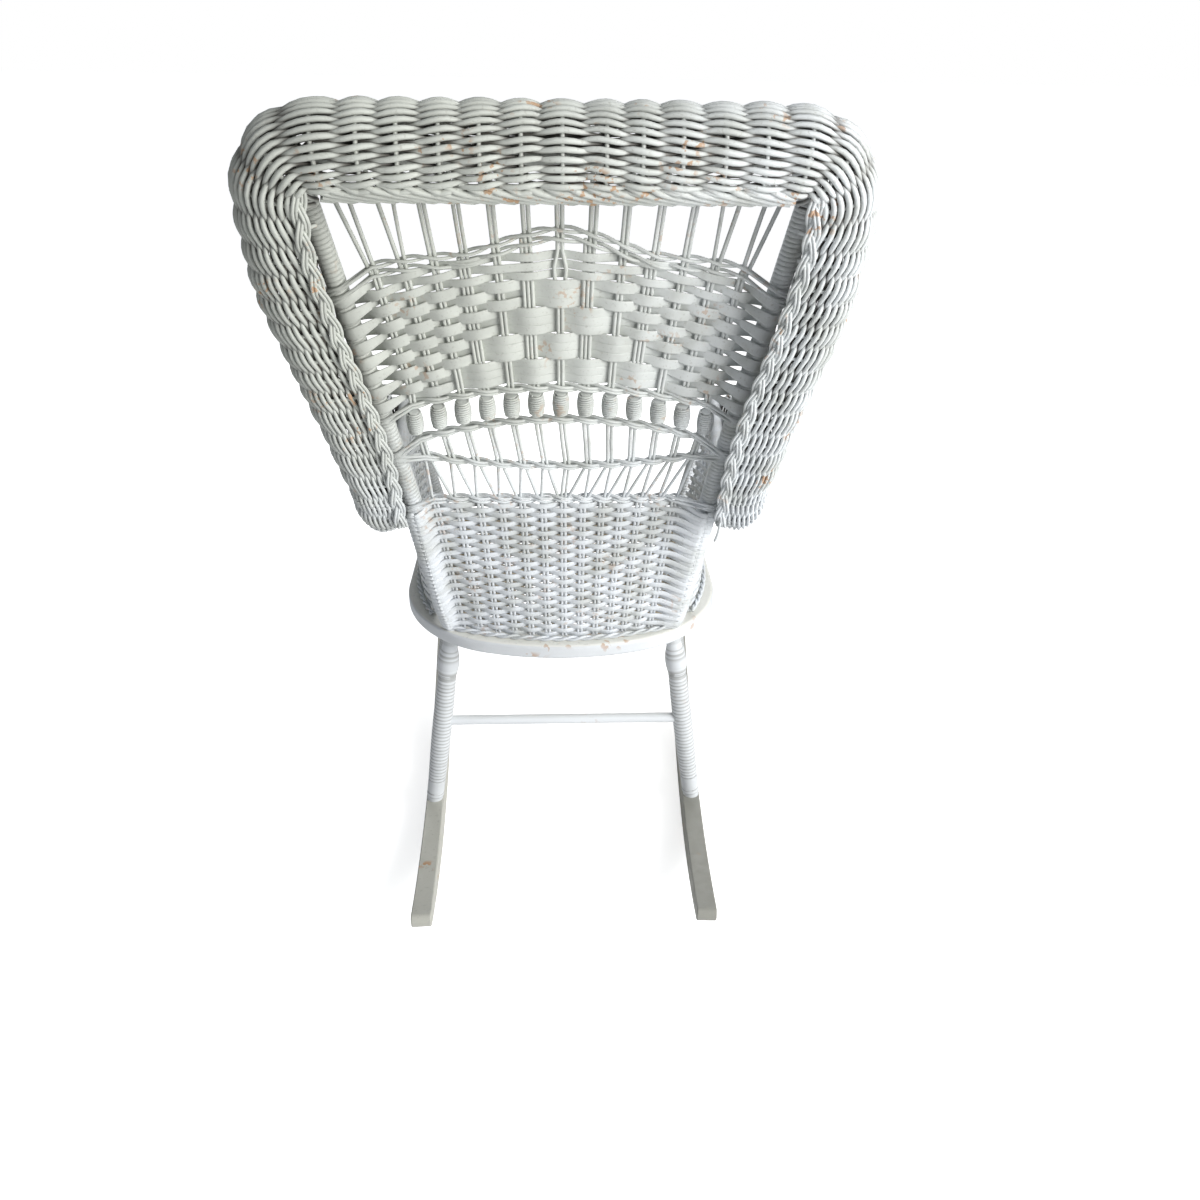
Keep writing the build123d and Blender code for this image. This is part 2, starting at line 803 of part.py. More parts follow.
def lower_panel():
    low_z = seat_top + fit
    high_z = knee_z - rail_radius - fit
    side_gap = wrap_radius + fit
    strips = []
    for z, bow in ((low_z, panel_base_y - post_foot_y), (high_z, panel_top_bow)):
        corner = post_at(z)
        half = corner.X - side_gap
        points = [(-half, corner.Y), (0, corner.Y + bow), (half, corner.Y)]
        strips.append(strip(points, panel_thick / 2, (0, 1, 0), z, lower_panel_ribs))
    return loft(strips, ruled=True)


def side_panel():
    strips = []
    for points, z in ((side_base, seat_top + fit), (side_top, arm_pole_z - arm_wrap_radius - fit)):
        strips.append(strip(points, panel_thick / 2, (1, 0, 0), z, side_panel_ribs))
    return loft(strips, ruled=True)


def base_border():
    """Border that lies on the seat, behind the lower panel and outside the side panels."""
    z = seat_top + base_border_radius + fit
    away = panel_thick / 2 + base_border_radius + border_stand_off
    half = post_foot_x - wrap_radius
    end_y, mid_y = post_foot_y + away, panel_base_y + away
    rear = ThreePointArc((-half, end_y, z), (0, mid_y, z), (half, end_y, z))
    left = ThreePointArc(*[(x + away, y, z) for x, y in side_base])
    left_border = tube(left, base_border_radius)
    return Compound(children=[tube(rear, base_border_radius), left_border, mirrored(left_border)])


# Assembly

parts = {}


def pair(name, solid):
    """Keep a left piece and its mirror image."""
    parts[name + "_left"] = solid
    parts[name + "_right"] = mirrored(solid)


rear_leg = Leg(rear_leg_y, rear_leg_top_x)
front_leg = Leg(front_leg_y, front_leg_top_x)
blank_seat = seat_blank()
blank_rocker = rocker_blank()


def mirrored_leg(leg):
    twin = Leg.__new__(Leg)
    twin.foot = Vector(-leg.foot.X, leg.foot.Y, leg.foot.Z)
    twin.head = Vector(-leg.head.X, leg.head.Y, leg.head.Z)
    twin.axis = twin.head - twin.foot
    return twin


post_low = seat_top - post_socket_depth
post = tube(post_path(post_low, post_top_t), post_radius)
post_socket = tube(post_path(post_low - fit, post_top_t), post_radius + fit)
post_cut = tube(post_path(seat_top, post_top_t), wrap_radius + fit)
arm_pole = tube(arm_path(post_low), arm_pole_radius) - post_cut
arm_socket = tube(arm_path(post_low - fit), arm_pole_radius + fit)

sockets = []
for piece in (rear_leg.head_tenon(fit), front_leg.head_tenon(fit), post_socket, arm_socket):
    sockets += [piece, mirrored(piece)]
parts["seat_frame"] = cut_seat(blank_seat, sockets)
parts["seat_cane_panel"] = cane_panel()
parts["cane_spline"] = cane_spline()

rear_bore = stretcher(rear_leg, mirrored_leg(rear_leg), rear_stretcher_z, fit)
front_bore = stretcher(front_leg, mirrored_leg(front_leg), front_stretcher_z, fit)
side_bore = stretcher(rear_leg, front_leg, side_stretcher_z, fit)
pair("rear_leg", rear_leg.solid(blank_rocker, blank_seat, (rear_bore, side_bore)))
pair("front_leg", front_leg.solid(blank_rocker, blank_seat, (front_bore, side_bore)))
pair("rocker", blank_rocker - rear_leg.foot_tenon(fit) - front_leg.foot_tenon(fit))
parts["rear_stretcher"] = stretcher(rear_leg, mirrored_leg(rear_leg), rear_stretcher_z)
parts["front_stretcher"] = stretcher(front_leg, mirrored_leg(front_leg), front_stretcher_z)
pair("side_stretcher", stretcher(rear_leg, front_leg, side_stretcher_z))

pair("back_post", post)
wrap_floor = Pos(0, 0, 2 * fit) * blank_seat
post_sleeve = sleeve(post_path(post_low, post_top_t - fit), post_radius + fit, wrap_radius)
pair("post_wrap", post_sleeve - wrap_floor)
parts["top_hoop_rail"] = tube(hoop_path(), post_radius)
pair("arm_pole", arm_pole)
arm_sleeve = sleeve(arm_path(post_low), arm_pole_radius + fit, arm_wrap_radius)
pair("arm_wrap", arm_sleeve - post_cut - wrap_floor)

parts["top_roll"] = ribbed_top_roll()
pair("corner_roll", roll_shell(corner_stations()))
pair("wing_roll", roll_shell(wing_stations()))
pair("arm_roll", roll_shell(arm_stations()))
pair("arm_front", roll_shell(front_stations()))
parts["top_border"] = roll_edging(top_stations(), top_border_radius)
pair("wing_braid", roll_edging(wing_stations(), wing_braid_radius))
pair("arm_braid", roll_edging(arm_stations(), arm_braid_radius))

arch = arch_over_back()
upper_bead = (upper_bead_end_t, upper_bead_mid_t)
lower_bead = (lower_bead_end_t, lower_bead_mid_t)
sag = (sag_end_t, sag_mid_t)
parts["arch_rail"] = arched_rail(arch, post_cut)
parts["upper_bead_rail"] = rail(*upper_bead, post_cut)
parts["lower_bead_rail"] = rail(*lower_bead, post_cut)
parts["sag_rail"] = rail(*sag, post_cut)
parts["panel_top_rail"] = straight_rail(post_cut)
hoop_underside = hoop_t() - post_radius + rail_radius
parts["top_spokes"] = spokes(arch, hoop_underside)
parts["splint_panel"] = splint_panel(arch)
parts["bead_stakes"] = spokes(lower_bead, upper_bead)
parts["band_spokes"] = spokes(sag, lower_bead)
parts["fan_spokes"] = spokes(0.0, sag, fan_lean)
one_core, one_winding = bead_core(), winding()
parts["bead_cores"] = Compound(children=[place * one_core for place in bead_places()])
parts["wound_beads"] = Compound(children=[place * one_winding for place in bead_places()])
print("least gap between bead turns", round(winding_gap(), 2))

parts["lower_panel"] = lower_panel()
parts["base_border"] = base_border()
pair("side_panel", side_panel())

os.makedirs("parts", exist_ok=True)
for name, solid in parts.items():
    export_step(solid, f"parts/{name}.step")

total = sum(solid.volume for solid in parts.values())
balance = sum(solid.volume * solid.center(CenterOf.MASS).Y for solid in parts.values()) / total
print("nodes", len(parts), "volume", round(total), "balance point y", round(balance, 1))
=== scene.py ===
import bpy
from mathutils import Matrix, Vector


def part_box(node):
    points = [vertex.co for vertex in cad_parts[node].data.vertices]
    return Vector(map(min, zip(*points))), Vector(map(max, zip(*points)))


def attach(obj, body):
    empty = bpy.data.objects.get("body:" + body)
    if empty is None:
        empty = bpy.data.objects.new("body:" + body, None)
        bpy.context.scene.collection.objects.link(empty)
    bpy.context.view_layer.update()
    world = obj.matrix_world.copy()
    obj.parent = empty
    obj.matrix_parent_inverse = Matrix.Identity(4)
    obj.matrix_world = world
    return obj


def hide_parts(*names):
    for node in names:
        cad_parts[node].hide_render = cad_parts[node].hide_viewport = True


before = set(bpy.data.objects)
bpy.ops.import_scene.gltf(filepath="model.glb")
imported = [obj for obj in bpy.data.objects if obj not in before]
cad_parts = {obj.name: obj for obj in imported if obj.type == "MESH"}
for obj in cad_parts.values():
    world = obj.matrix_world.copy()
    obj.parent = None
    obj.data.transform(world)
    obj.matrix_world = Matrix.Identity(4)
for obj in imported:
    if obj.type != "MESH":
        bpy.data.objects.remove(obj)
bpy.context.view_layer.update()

import bisect
import math

import bmesh
import bpy
from mathutils import Matrix, Vector, kdtree, noise

bl_info = {
    "name": "Wicker rocking chair",
    "version": (1, 0, 0),
    "blender": (4, 5, 0),
    "location": "View3D > Sidebar > Wicker",
    "description": "Weaves a painted wicker rocking chair over its solid frame",
    "category": "Object",
}

MM = 0.001
ROOT = "root"

# Back frame, as in the solid model (metres)
TILT = math.radians(13.8)
KNEE_Y = 169.5 * MM
KNEE_Z = 597.0 * MM
POST_FOOT = Vector((155.0, 120.0, 378.0)) * MM
POST_KNEE_X = 185.0 * MM
POST_SPLAY = 0.1657
POST_TOP_T = 372.0 * MM
POST_RADIUS = 9.6 * MM
POST_BEND = 80.0 * MM
SEAT_TOP = 378.0 * MM
UP = Vector((0.0, math.sin(TILT), math.cos(TILT)))
REAR = Vector((0.0, math.cos(TILT), -math.sin(TILT)))
SIDE = Vector((1.0, 0.0, 0.0))
DOWN = Vector((0.0, 0.0, -1.0))

# Rolled edge, as in the solid model (metres and degrees)
ROLL_REAR_ANGLE = 150.0
TOP_WEAVE_END = 127.0
CORNER_WEAVE_END = 114.0
TOP_ROLL_RADIUS = 46.0 * MM
TOP_ROLL_T = 425.0 * MM
TOP_ROLL_SET_BACK = 28.0 * MM
TOP_FRONT_ANGLE = -125.0
WING_TOP_FRONT_ANGLE = -115.0
SIDE_FRONT_ANGLE = -135.0
ROLL_CORNER_RADIUS = 46.0 * MM
ROLL_CORNER_S = 220.0 * MM
WING_SET_BACK = 24.0 * MM
WING_ROWS = [(290.0, 269.7, 41.3, -125.0, 140.0), (165.0, 247.8, 34.7, -125.0, 149.0),
             (40.0, 226.0, 28.0, -135.0, 150.0)]
WING_SLOPE = math.radians(15)
WING_FOOT_DIP = 14.0 * MM
ELBOW_DIP = 20.0 * MM
# Plait on the wing's lip: height up the back, distance outside the post, distance behind the back
WING_LIP = [(-8.0, 11.0, 46.0), (39.0, 4.0, 46.0), (85.0, -1.0, 47.0), (130.0, -2.8, 49.0),
            (185.0, -1.5, 51.0), (238.0, 1.0, 54.0), (287.0, 1.0, 57.0), (334.0, 0.0, 60.0),
            (380.0, -9.0, 64.0), (402.0, -14.0, 62.0)]
ELBOW_RADIUS = 55.0 * MM
ARM_ROWS = [(50.0, 246.0, 592.0, 29.0), (-60.0, 268.0, 594.0, 30.0), (-158.0, 276.0, 592.0, 30.0)]
FRONT_BEND_RADIUS = 60.0 * MM
ARM_FRONT_ROWS = [(247.0, 460.0, 21.0), (214.0, 378.2, 12.0)]

# Rails of the back: height at the posts and in the middle (metres)
ARCH = (283.0 * MM, 338.0 * MM)
ARCH_SHOULDER = (0.5, 309.0 * MM, -0.06)
ARCH_END_SLOPE = -0.5
SPLINT_TOP = (272.0 * MM, 320.0 * MM)
UPPER_BEAD = (126.0 * MM, 160.0 * MM)
LOWER_BEAD = (79.0 * MM, 117.5 * MM)
SAG = (73.0 * MM, 50.8 * MM)
PAIRS = range(-6, 7)
SPOKE_PITCH_LOW = 28.3 * MM
SPOKE_PITCH_HIGH = 35.6 * MM
# Spokes under the beads: height, pitch, sag of the middle one to the right, shift of all to the left
SPOKE_ROWS = [(-225.0, 21.6, 10.0, 8.0), (0.0, 25.0, 10.0, 8.0), (62.0, 26.6, 9.0, 1.0),
              (120.0, 28.3, 0.0, 0.0)]

# Arm poles, side panels and lower panel (metres)
ARM_POLE_Z = 600.0 * MM
ARM_POLE_POINTS = [(222.0, 0.0), (245.0, -212.0), (193.0, -212.0)]
ARM_POLE_BEND = 30.0 * MM
ARM_POLE_RADIUS = 8.0 * MM
SIDE_BASE = [(178.0, 90.0), (212.0, -40.0), (199.0, -198.0)]
SIDE_TOP = [(191.0, 148.0), (221.0, 0.0), (241.0, -178.0)]
PANEL_BASE_BOW = 32.0 * MM
PANEL_TOP_BOW = 4.0 * MM


class ReedSizes(bpy.types.PropertyGroup):
    """Sizes of the reeds, splints and canes."""

    roll_reed: bpy.props.FloatProperty(
        name="Roll reed", description="Thickness of the reeds in the rolled edge",
        default=5.3 * MM, unit="LENGTH")
    roll_rows: bpy.props.IntProperty(
        name="Roll rows", description="Rows of paired reeds round the rolled edge", default=23)
    top_stake_gap: bpy.props.FloatProperty(
        name="Top stake gap", description="Distance between stakes along the top roll",
        default=37.0 * MM, unit="LENGTH")
    wing_stake_gap: bpy.props.FloatProperty(
        name="Wing stake gap", description="Distance between stakes along the wings and arms",
        default=27.5 * MM, unit="LENGTH")
    stake: bpy.props.FloatProperty(
        name="Stake", description="Thickness of stakes and spokes", default=4.8 * MM, unit="LENGTH")
    rail_reed: bpy.props.FloatProperty(
        name="Rail reed", description="Thickness of the reeds twisted into rails",
        default=3.8 * MM, unit="LENGTH")
    splint_width: bpy.props.FloatProperty(
        name="Splint width", description="Width of the flat splints", default=13.0 * MM, unit="LENGTH")
    splint_thick: bpy.props.FloatProperty(
        name="Splint thickness", description="Thickness of the flat splints",
        default=1.6 * MM, unit="LENGTH")
    panel_rows: bpy.props.IntProperty(
        name="Panel rows", description="Rows of reed in the lower panel", default=31)
    panel_reed_width: bpy.props.FloatProperty(
        name="Panel reed width", description="Width of the oval reed in the woven panels",
        default=7.2 * MM, unit="LENGTH")
    panel_reed_thick: bpy.props.FloatProperty(
        name="Panel reed thickness", description="Thickness of the oval reed in the woven panels",
        default=2.4 * MM, unit="LENGTH")
    binding_pitch: bpy.props.FloatProperty(
        name="Binding pitch", description="Rise of one turn of the binding cane",
        default=5.0 * MM, unit="LENGTH")
    cane_gap: bpy.props.FloatProperty(
        name="Cane gap", description="Distance between strands of the cane seat",
        default=12.0 * MM, unit="LENGTH")


class PaintColours(bpy.types.PropertyGroup):
    """Colours of the paint, the bare reed and the stage."""

    reed_paint: bpy.props.FloatVectorProperty(
        name="Reed paint", description="Paint on the upper wicker", subtype="COLOR", size=3,
        default=(0.56, 0.58, 0.53))
    # Partly painted light: this cooler, brighter tone stands in for sky light on the lower wicker and lamp
    # light towards -X
    low_paint_with_light: bpy.props.FloatVectorProperty(
        name="Low paint", description="Cooler paint on the lower wicker", subtype="COLOR", size=3,
        default=(0.665, 0.695, 0.725))
    wood_paint: bpy.props.FloatVectorProperty(
        name="Wood paint", description="Paint on the legs and the seat's edge", subtype="COLOR", size=3,
        default=(0.66, 0.685, 0.705))
    dusty_paint: bpy.props.FloatVectorProperty(
        name="Dusty paint", description="Worn paint on top faces of rim and rockers", subtype="COLOR",
        size=3, default=(0.46, 0.46, 0.41))
    rim_dust: bpy.props.FloatVectorProperty(
        name="Rim dust", description="Dust that has settled on the seat's rim", subtype="COLOR", size=3,
        default=(0.76, 0.755, 0.70))
    bare_reed: bpy.props.FloatVectorProperty(
        name="Bare reed", description="Reed where the paint has chipped", subtype="COLOR", size=3,
        default=(0.42, 0.215, 0.08))
    # Grime and painted shade: the colour that deep, shut-in points of the weave darken to
    grime_and_shade: bpy.props.FloatVectorProperty(
        name="Grime", description="Dirt and shade in the weave's depth", subtype="COLOR", size=3,
        default=(0.075, 0.066, 0.055))
    cane: bpy.props.FloatVectorProperty(
        name="Cane", description="Worn cane of the seat", subtype="COLOR", size=3,
        default=(0.56, 0.45, 0.28))
    floor: bpy.props.FloatVectorProperty(
        name="Floor", description="Pale floor", subtype="COLOR", size=3, default=(0.93, 0.93, 0.93))


def sizes():
    return bpy.context.scene.wicker_sizes


def colours():
    return bpy.context.scene.wicker_colours


# Places on the frame

def back_point(s, t, r=0.0):
    """Point on the leaning back: s sideways, t up the back, r behind it."""
    return Vector((s, KNEE_Y, KNEE_Z)) + UP * t + REAR * r


def mix(a, b, share):
    return a + (b - a) * share


def steps(count):
    return [index / count for index in range(count + 1)]


def ease(share):
    return (1 - math.cos(math.pi * min(1.0, max(0.0, share)))) / 2


def post_s(t):
    return POST_KNEE_X + POST_SPLAY * t


def post_at(z):
    """Centre of the left post between the seat and the knee."""
    share = (z - POST_FOOT.z) / (KNEE_Z - POST_FOOT.z)
    return mix(POST_FOOT, Vector((POST_KNEE_X, KNEE_Y, KNEE_Z)), share)


def arch_height(s):
    """Height of the arch, which falls from its middle to a shoulder and then to the posts."""
    half = post_s(ARCH[0])
    share, shoulder_t, slope = ARCH_SHOULDER
    middle, shoulder = (0.0, ARCH[1], 0.0), (half * share, shoulder_t, slope)
    start, stop = middle, shoulder
    if abs(s) > shoulder[0]:
        start, stop = shoulder, (half, ARCH[0], ARCH_END_SLOPE)
    third = (stop[0] - start[0]) / 3
    part = (abs(s) - start[0]) / (3 * third)
    rest = 1 - part
    return (start[1] * rest ** 3 + 3 * (start[1] + start[2] * third) * rest ** 2 * part
            + 3 * (stop[1] - stop[2] * third) * rest * part ** 2 + stop[1] * part ** 3)


def arc_height(shape, s):
    """Height of a rail's arc at a sideways place."""
    if shape is ARCH:
        return arch_height(s)
    end_t, mid_t = shape
    half = post_s(end_t)
    rise = mid_t - end_t
    radius = (half * half + rise * rise) / (2 * abs(rise))
    drop = radius - math.sqrt(radius * radius - s * s)
    return mid_t - math.copysign(drop, rise)


def spoke_s(number, t):
    """Sideways place of a spoke pair."""
    for low, high in zip(SPOKE_ROWS, SPOKE_ROWS[1:]):
        if t < high[0] * MM:
            share = (t / MM - low[0]) / (high[0] - low[0])
            pitch, sag, shift = (mix(a, b, share) for a, b in zip(low[1:], high[1:]))
            return (number * pitch - sag * (1 - (number / PAIRS[-1]) ** 2) + shift) * MM
    share = max(0.0, (t - UPPER_BEAD[1]) / (TOP_ROLL_T - UPPER_BEAD[1]))
    return number * mix(SPOKE_PITCH_LOW, SPOKE_PITCH_HIGH, share)


def wobble(seed, place, size):
    """Small steady unevenness, the same on each run."""
    return noise.noise(Vector((place, seed * 7.31, seed * 1.7))) * size


def three_point(points, share):
    """Point on a smooth line through three plan points."""
    (x0, y0), (x1, y1), (x2, y2) = points
    a = 2 * (share - 0.5) * (share - 1)
    b = 4 * share * (1 - share)
    c = 2 * share * (share - 0.5)
    return Vector((a * x0 + b * x1 + c * x2, a * y0 + b * y1 + c * y2, 0.0)) * MM


# Making reeds, ribbons and pieces

class Reeds:
    """Round reeds gathered in one bevelled curve, which becomes one mesh."""

    def __init__(self, name, thickness):
        self.name = name
        self.curve = bpy.data.curves.new(name, "CURVE")
        self.curve.dimensions = "3D"
        self.curve.bevel_depth = thickness / 2
        self.curve.bevel_resolution = 1
        self.curve.use_fill_caps = True

    def add(self, points, scale=1.0):
        spline = self.curve.splines.new("POLY")
        spline.points.add(len(points) - 1)
        spline.points.foreach_set("co", [value for point in points for value in (*point, 1.0)])
        radii = scale if isinstance(scale, list) else [scale] * len(points)
        spline.points.foreach_set("radius", radii)
        spline.use_smooth = True

    def mesh(self):
        holder = bpy.data.objects.new(self.name + "_line", self.curve)
        bpy.context.scene.collection.objects.link(holder)
        bpy.context.view_layer.update()
        made = bpy.data.meshes.new_from_object(holder.evaluated_get(bpy.context.evaluated_depsgraph_get()))
        made.name = self.name
        bpy.data.objects.remove(holder)
        bpy.data.curves.remove(self.curve)
        return made


class Ribbons:
    """Flat or oval strips gathered in one mesh. Each strip is a grid wrapped into a tube."""

    def __init__(self, name, sides=8):
        self.name = name
        self.bm = bmesh.new()
        self.sides = sides

    def add(self, points, normals, width, thick, flatness=0.5):
        """Strip along points; width is one number or one for each point."""
        count = len(points)
        widths = width if isinstance(width, list) else [width] * count
        made = bmesh.ops.create_grid(self.bm, x_segments=self.sides, y_segments=count - 1, size=1.0)
        verts = made["verts"]
        ring = self.sides + 1
        for row in range(count):
            ahead = points[min(row + 1, count - 1)] - points[max(row - 1, 0)]
            across = ahead.cross(normals[row]).normalized()
            out = across.cross(ahead).normalized()
            for column in range(ring):
                angle = 2 * math.pi * (column + 0.5) / self.sides
                c, s = math.cos(angle), math.sin(angle)
                wide = math.copysign(abs(c) ** flatness, c) * widths[row] / 2
                high = math.copysign(abs(s) ** flatness, s) * thick / 2
                verts[row * ring + column].co = points[row] + across * wide + out * high

    def mesh(self):
        bmesh.ops.remove_doubles(self.bm, verts=self.bm.verts, dist=1e-7)
        ends = [edge for edge in self.bm.edges if edge.is_boundary]
        bmesh.ops.holes_fill(self.bm, edges=ends, sides=0)
        bmesh.ops.recalc_face_normals(self.bm, faces=self.bm.faces)
        for face in self.bm.faces:
            face.smooth = True
        made = bpy.data.meshes.new(self.name)
        self.bm.to_mesh(made)
        self.bm.free()
        return made


def paint_shade_depth(mesh, depth_of=None):
    """Stores how open to the air each point is: 1 outside, 0 deep in the weave; the finishes paint shade
    and grime where it is low.
    """
    layer = mesh.attributes.new("shade_openness", "FLOAT", "POINT")
    values = [1.0] * len(mesh.vertices)
    if depth_of is not None:
        values = [depth_of(vert.co) for vert in mesh.vertices]
    layer.data.foreach_set("value", values)


def finish_piece(maker, material, nodes=(), depth_of=None):
    """Turns gathered reeds or ribbons into a piece that rides on the chair."""
    mesh = maker.mesh()
    paint_shade_depth(mesh, depth_of)
    mesh.materials.append(material)
    piece = bpy.data.objects.new(maker.name, mesh)
    bpy.context.scene.collection.objects.link(piece)
    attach(piece, ROOT)
    if nodes:
        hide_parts(*nodes)
    return piece


def both(name):
    return [name + "_left", name + "_right"]


# Finishes

class Finish:
    """Builds one node material, with short calls for the nodes that the finishes share."""

    def __init__(self, name):
        self.material = bpy.data.materials.new(name)
        self.material.use_nodes = True
        self.tree = self.material.node_tree
        self.shader = self.tree.nodes["Principled BSDF"]
        self.place = self.tree.nodes.new("ShaderNodeTexCoord").outputs["Object"]

    def node(self, kind, **settings):
        made = self.tree.nodes.new(kind)
        for key, value in settings.items():
            setattr(made, key, value)
        return made

    def link(self, source, target):
        self.tree.links.new(source, target)

    def noise(self, scale, detail=3.0, stretch=None):
        """Noise on the object's own coordinates, in features per metre."""
        made = self.node("ShaderNodeTexNoise")
        made.inputs["Scale"].default_value = scale
        made.inputs["Detail"].default_value = detail
        place = self.place
        if stretch:
            mapping = self.node("ShaderNodeMapping")
            mapping.inputs["Scale"].default_value = stretch
            self.link(self.place, mapping.inputs["Vector"])
            place = mapping.outputs["Vector"]
        self.link(place, made.inputs["Vector"])
        return made.outputs["Fac"]

    def band(self, value, low, high, start=0.0, end=1.0):
        """Value spread smoothly between two limits."""
        made = self.node("ShaderNodeMapRange", interpolation_type="SMOOTHSTEP")
        for name, number in (("From Min", low), ("From Max", high), ("To Min", start), ("To Max", end)):
            made.inputs[name].default_value = number
        self.link(value, made.inputs["Value"])
        return made.outputs["Result"]

    def times(self, first, second):
        made = self.node("ShaderNodeMath", operation="MULTIPLY")
        for source, target in ((first, made.inputs[0]), (second, made.inputs[1])):
            if isinstance(source, (int, float)):
                target.default_value = source
            else:
                self.link(source, target)
        return made.outputs["Value"]

    def blend(self, first, second, share):
        """Mixes two colours, each a colour or another node's output."""
        made = self.node("ShaderNodeMix", data_type="RGBA")
        for source, target in ((first, made.inputs[6]), (second, made.inputs[7])):
            if isinstance(source, bpy.types.NodeSocket):
                self.link(source, target)
            else:
                target.default_value = (*source, 1.0)
        self.link(share, made.inputs["Factor"])
        return made.outputs[2]

    def axis(self, name):
        made = self.node("ShaderNodeSeparateXYZ")
        self.link(self.place, made.inputs["Vector"])
        return made.outputs[name]

    def attribute(self, name):
        made = self.node("ShaderNodeAttribute", attribute_name=name)
        return made.outputs["Fac"]

    def upward(self):
        """How much a face looks up, from its normal; the pieces are unturned, so Z is the world's."""
        made = self.node("ShaderNodeSeparateXYZ")
        normal = self.node("ShaderNodeNewGeometry").outputs["Normal"]
        self.link(normal, made.inputs["Vector"])
        return made.outputs["Z"]

    def close(self, colour, rough_low, rough_high, bump_value, bump_strength, bump_distance):
        self.link(colour, self.shader.inputs["Base Color"])
        rough = self.band(self.noise(90.0), 0.3, 0.7, rough_low, rough_high)
        self.link(rough, self.shader.inputs["Roughness"])
        bump = self.node("ShaderNodeBump")
        bump.inputs["Strength"].default_value = bump_strength
        bump.inputs["Distance"].default_value = bump_distance
        self.link(bump_value, bump.inputs["Height"])
        self.link(bump.outputs["Normal"], self.shader.inputs["Normal"])
        return self.material


def scaled(colour, factor):
    return tuple(channel * factor for channel in colour)


def painted_reed(name, chips):
    """Old brushed paint on reed: uneven, chipped to the bare reed, with grime and painted shade deep in the
    weave; painted light makes it cooler and brighter low down and towards -X, and painted shade darkens it
    towards +X.
    """
    paint = colours()
    finish = Finish(name)
    high = tuple(paint.reed_paint)
    low = tuple(paint.low_paint_with_light)
    # Painted light: from 0.80 m down to 0.52 m the paint turns to the cooler, brighter low paint, as sky
    # light would show it
    height = finish.band(finish.axis("Z"), 0.52, 0.80)
    tone = finish.blend(low, high, height)
    # Painted light: towards -X, the side the lamps come from, the paint turns to the brighter low paint
    right = finish.band(finish.axis("X"), -0.28, 0.10, 0.75, 0.0)
    tone = finish.blend(tone, low, right)
    # Painted shade: past X 0.14, the side away from the lamps, the paint darkens to 0.68 of its tone
    painted_shade_left = finish.band(finish.axis("X"), 0.14, 0.30, 0.0, 0.6)
    tone = finish.blend(tone, scaled(paint.reed_paint, 0.68), painted_shade_left)
    patch = finish.band(finish.noise(26.0, 4.0), 0.40, 0.68, 0.0, 0.55)
    tone = finish.blend(tone, scaled(paint.reed_paint, 0.74), patch)
    fleck = finish.band(finish.noise(320.0, 2.0), 0.58, 0.74, 0.0, 0.45)
    tone = finish.blend(tone, scaled(paint.dusty_paint, 0.8), fleck)
    where = finish.band(finish.noise(20.0, 2.0), 0.56, 0.66, 0.0, chips)
    edge = finish.band(finish.noise(150.0, 4.0), 0.56, 0.60)
    tone = finish.blend(tone, paint.bare_reed, finish.times(where, edge))
    # Painted shade with grime: points deep in the weave darken towards the grime colour
    depth = finish.band(finish.attribute("shade_openness"), 0.0, 0.85, 0.92, 0.0)
    tone = finish.blend(tone, paint.grime_and_shade, depth)
    return finish.close(tone, 0.45, 0.7, finish.noise(700.0, 3.0), 0.25, 0.0006)


def painted_wood(name, colour, dust, chips, settling=None, darker_right=0.0):
    """Brushed paint on turned or bent wood, dusty where it faces up, chipped at places, with painted shade
    and dirt in its hollows.
    """
    paint = colours()
    settling = settling or paint.dusty_paint
    finish = Finish(name)
    streak = finish.band(finish.noise(12.0, 5.0, (1.0, 1.0, 6.0)), 0.35, 0.70, 0.0, 0.35)
    tone = finish.blend(tuple(colour), scaled(colour, 0.84), streak)
    settled = finish.times(finish.band(finish.upward(), 0.55, 0.9), dust)
    tone = finish.blend(tone, tuple(settling), settled)
    right = finish.band(finish.axis("X"), -0.2, 0.2, darker_right, 0.0)
    tone = finish.blend(tone, scaled(colour, 0.6), right)
    worn = finish.band(finish.noise(240.0, 3.0), 0.60, 0.72, 0.0, 0.5)
    tone = finish.blend(tone, scaled(settling, 0.62), finish.times(worn, settled))
    where = finish.band(finish.noise(11.0, 2.0), 0.60, 0.66, 0.0, chips)
    edge = finish.band(finish.noise(95.0, 4.0), 0.55, 0.58)
    tone = finish.blend(tone, tuple(paint.bare_reed), finish.times(where, edge))
    # Painted shade with dirt: hollows with low openness, such as the leg rings' valleys, darken towards
    # dark dusty paint
    depth = finish.band(finish.attribute("shade_openness"), 0.0, 1.0, 0.6, 0.0)
    tone = finish.blend(tone, scaled(paint.dusty_paint, 0.45), depth)
    return finish.close(tone, 0.38, 0.6, finish.noise(420.0, 4.0), 0.18, 0.0006)


def woven_cane(name):
    """Glossy cane, yellowed and worn unevenly."""
    paint = colours()
    finish = Finish(name)
    shade = finish.band(finish.noise(18.0, 4.0), 0.35, 0.7)
    tone = finish.blend(tuple(paint.cane), scaled(paint.cane, 0.66), shade)
    fibre = finish.band(finish.noise(500.0, 2.0), 0.45, 0.75, 0.0, 0.4)
    tone = finish.blend(tone, scaled(paint.cane, 0.45), fibre)
    return finish.close(tone, 0.32, 0.5, finish.noise(800.0, 2.0), 0.2, 0.0004)


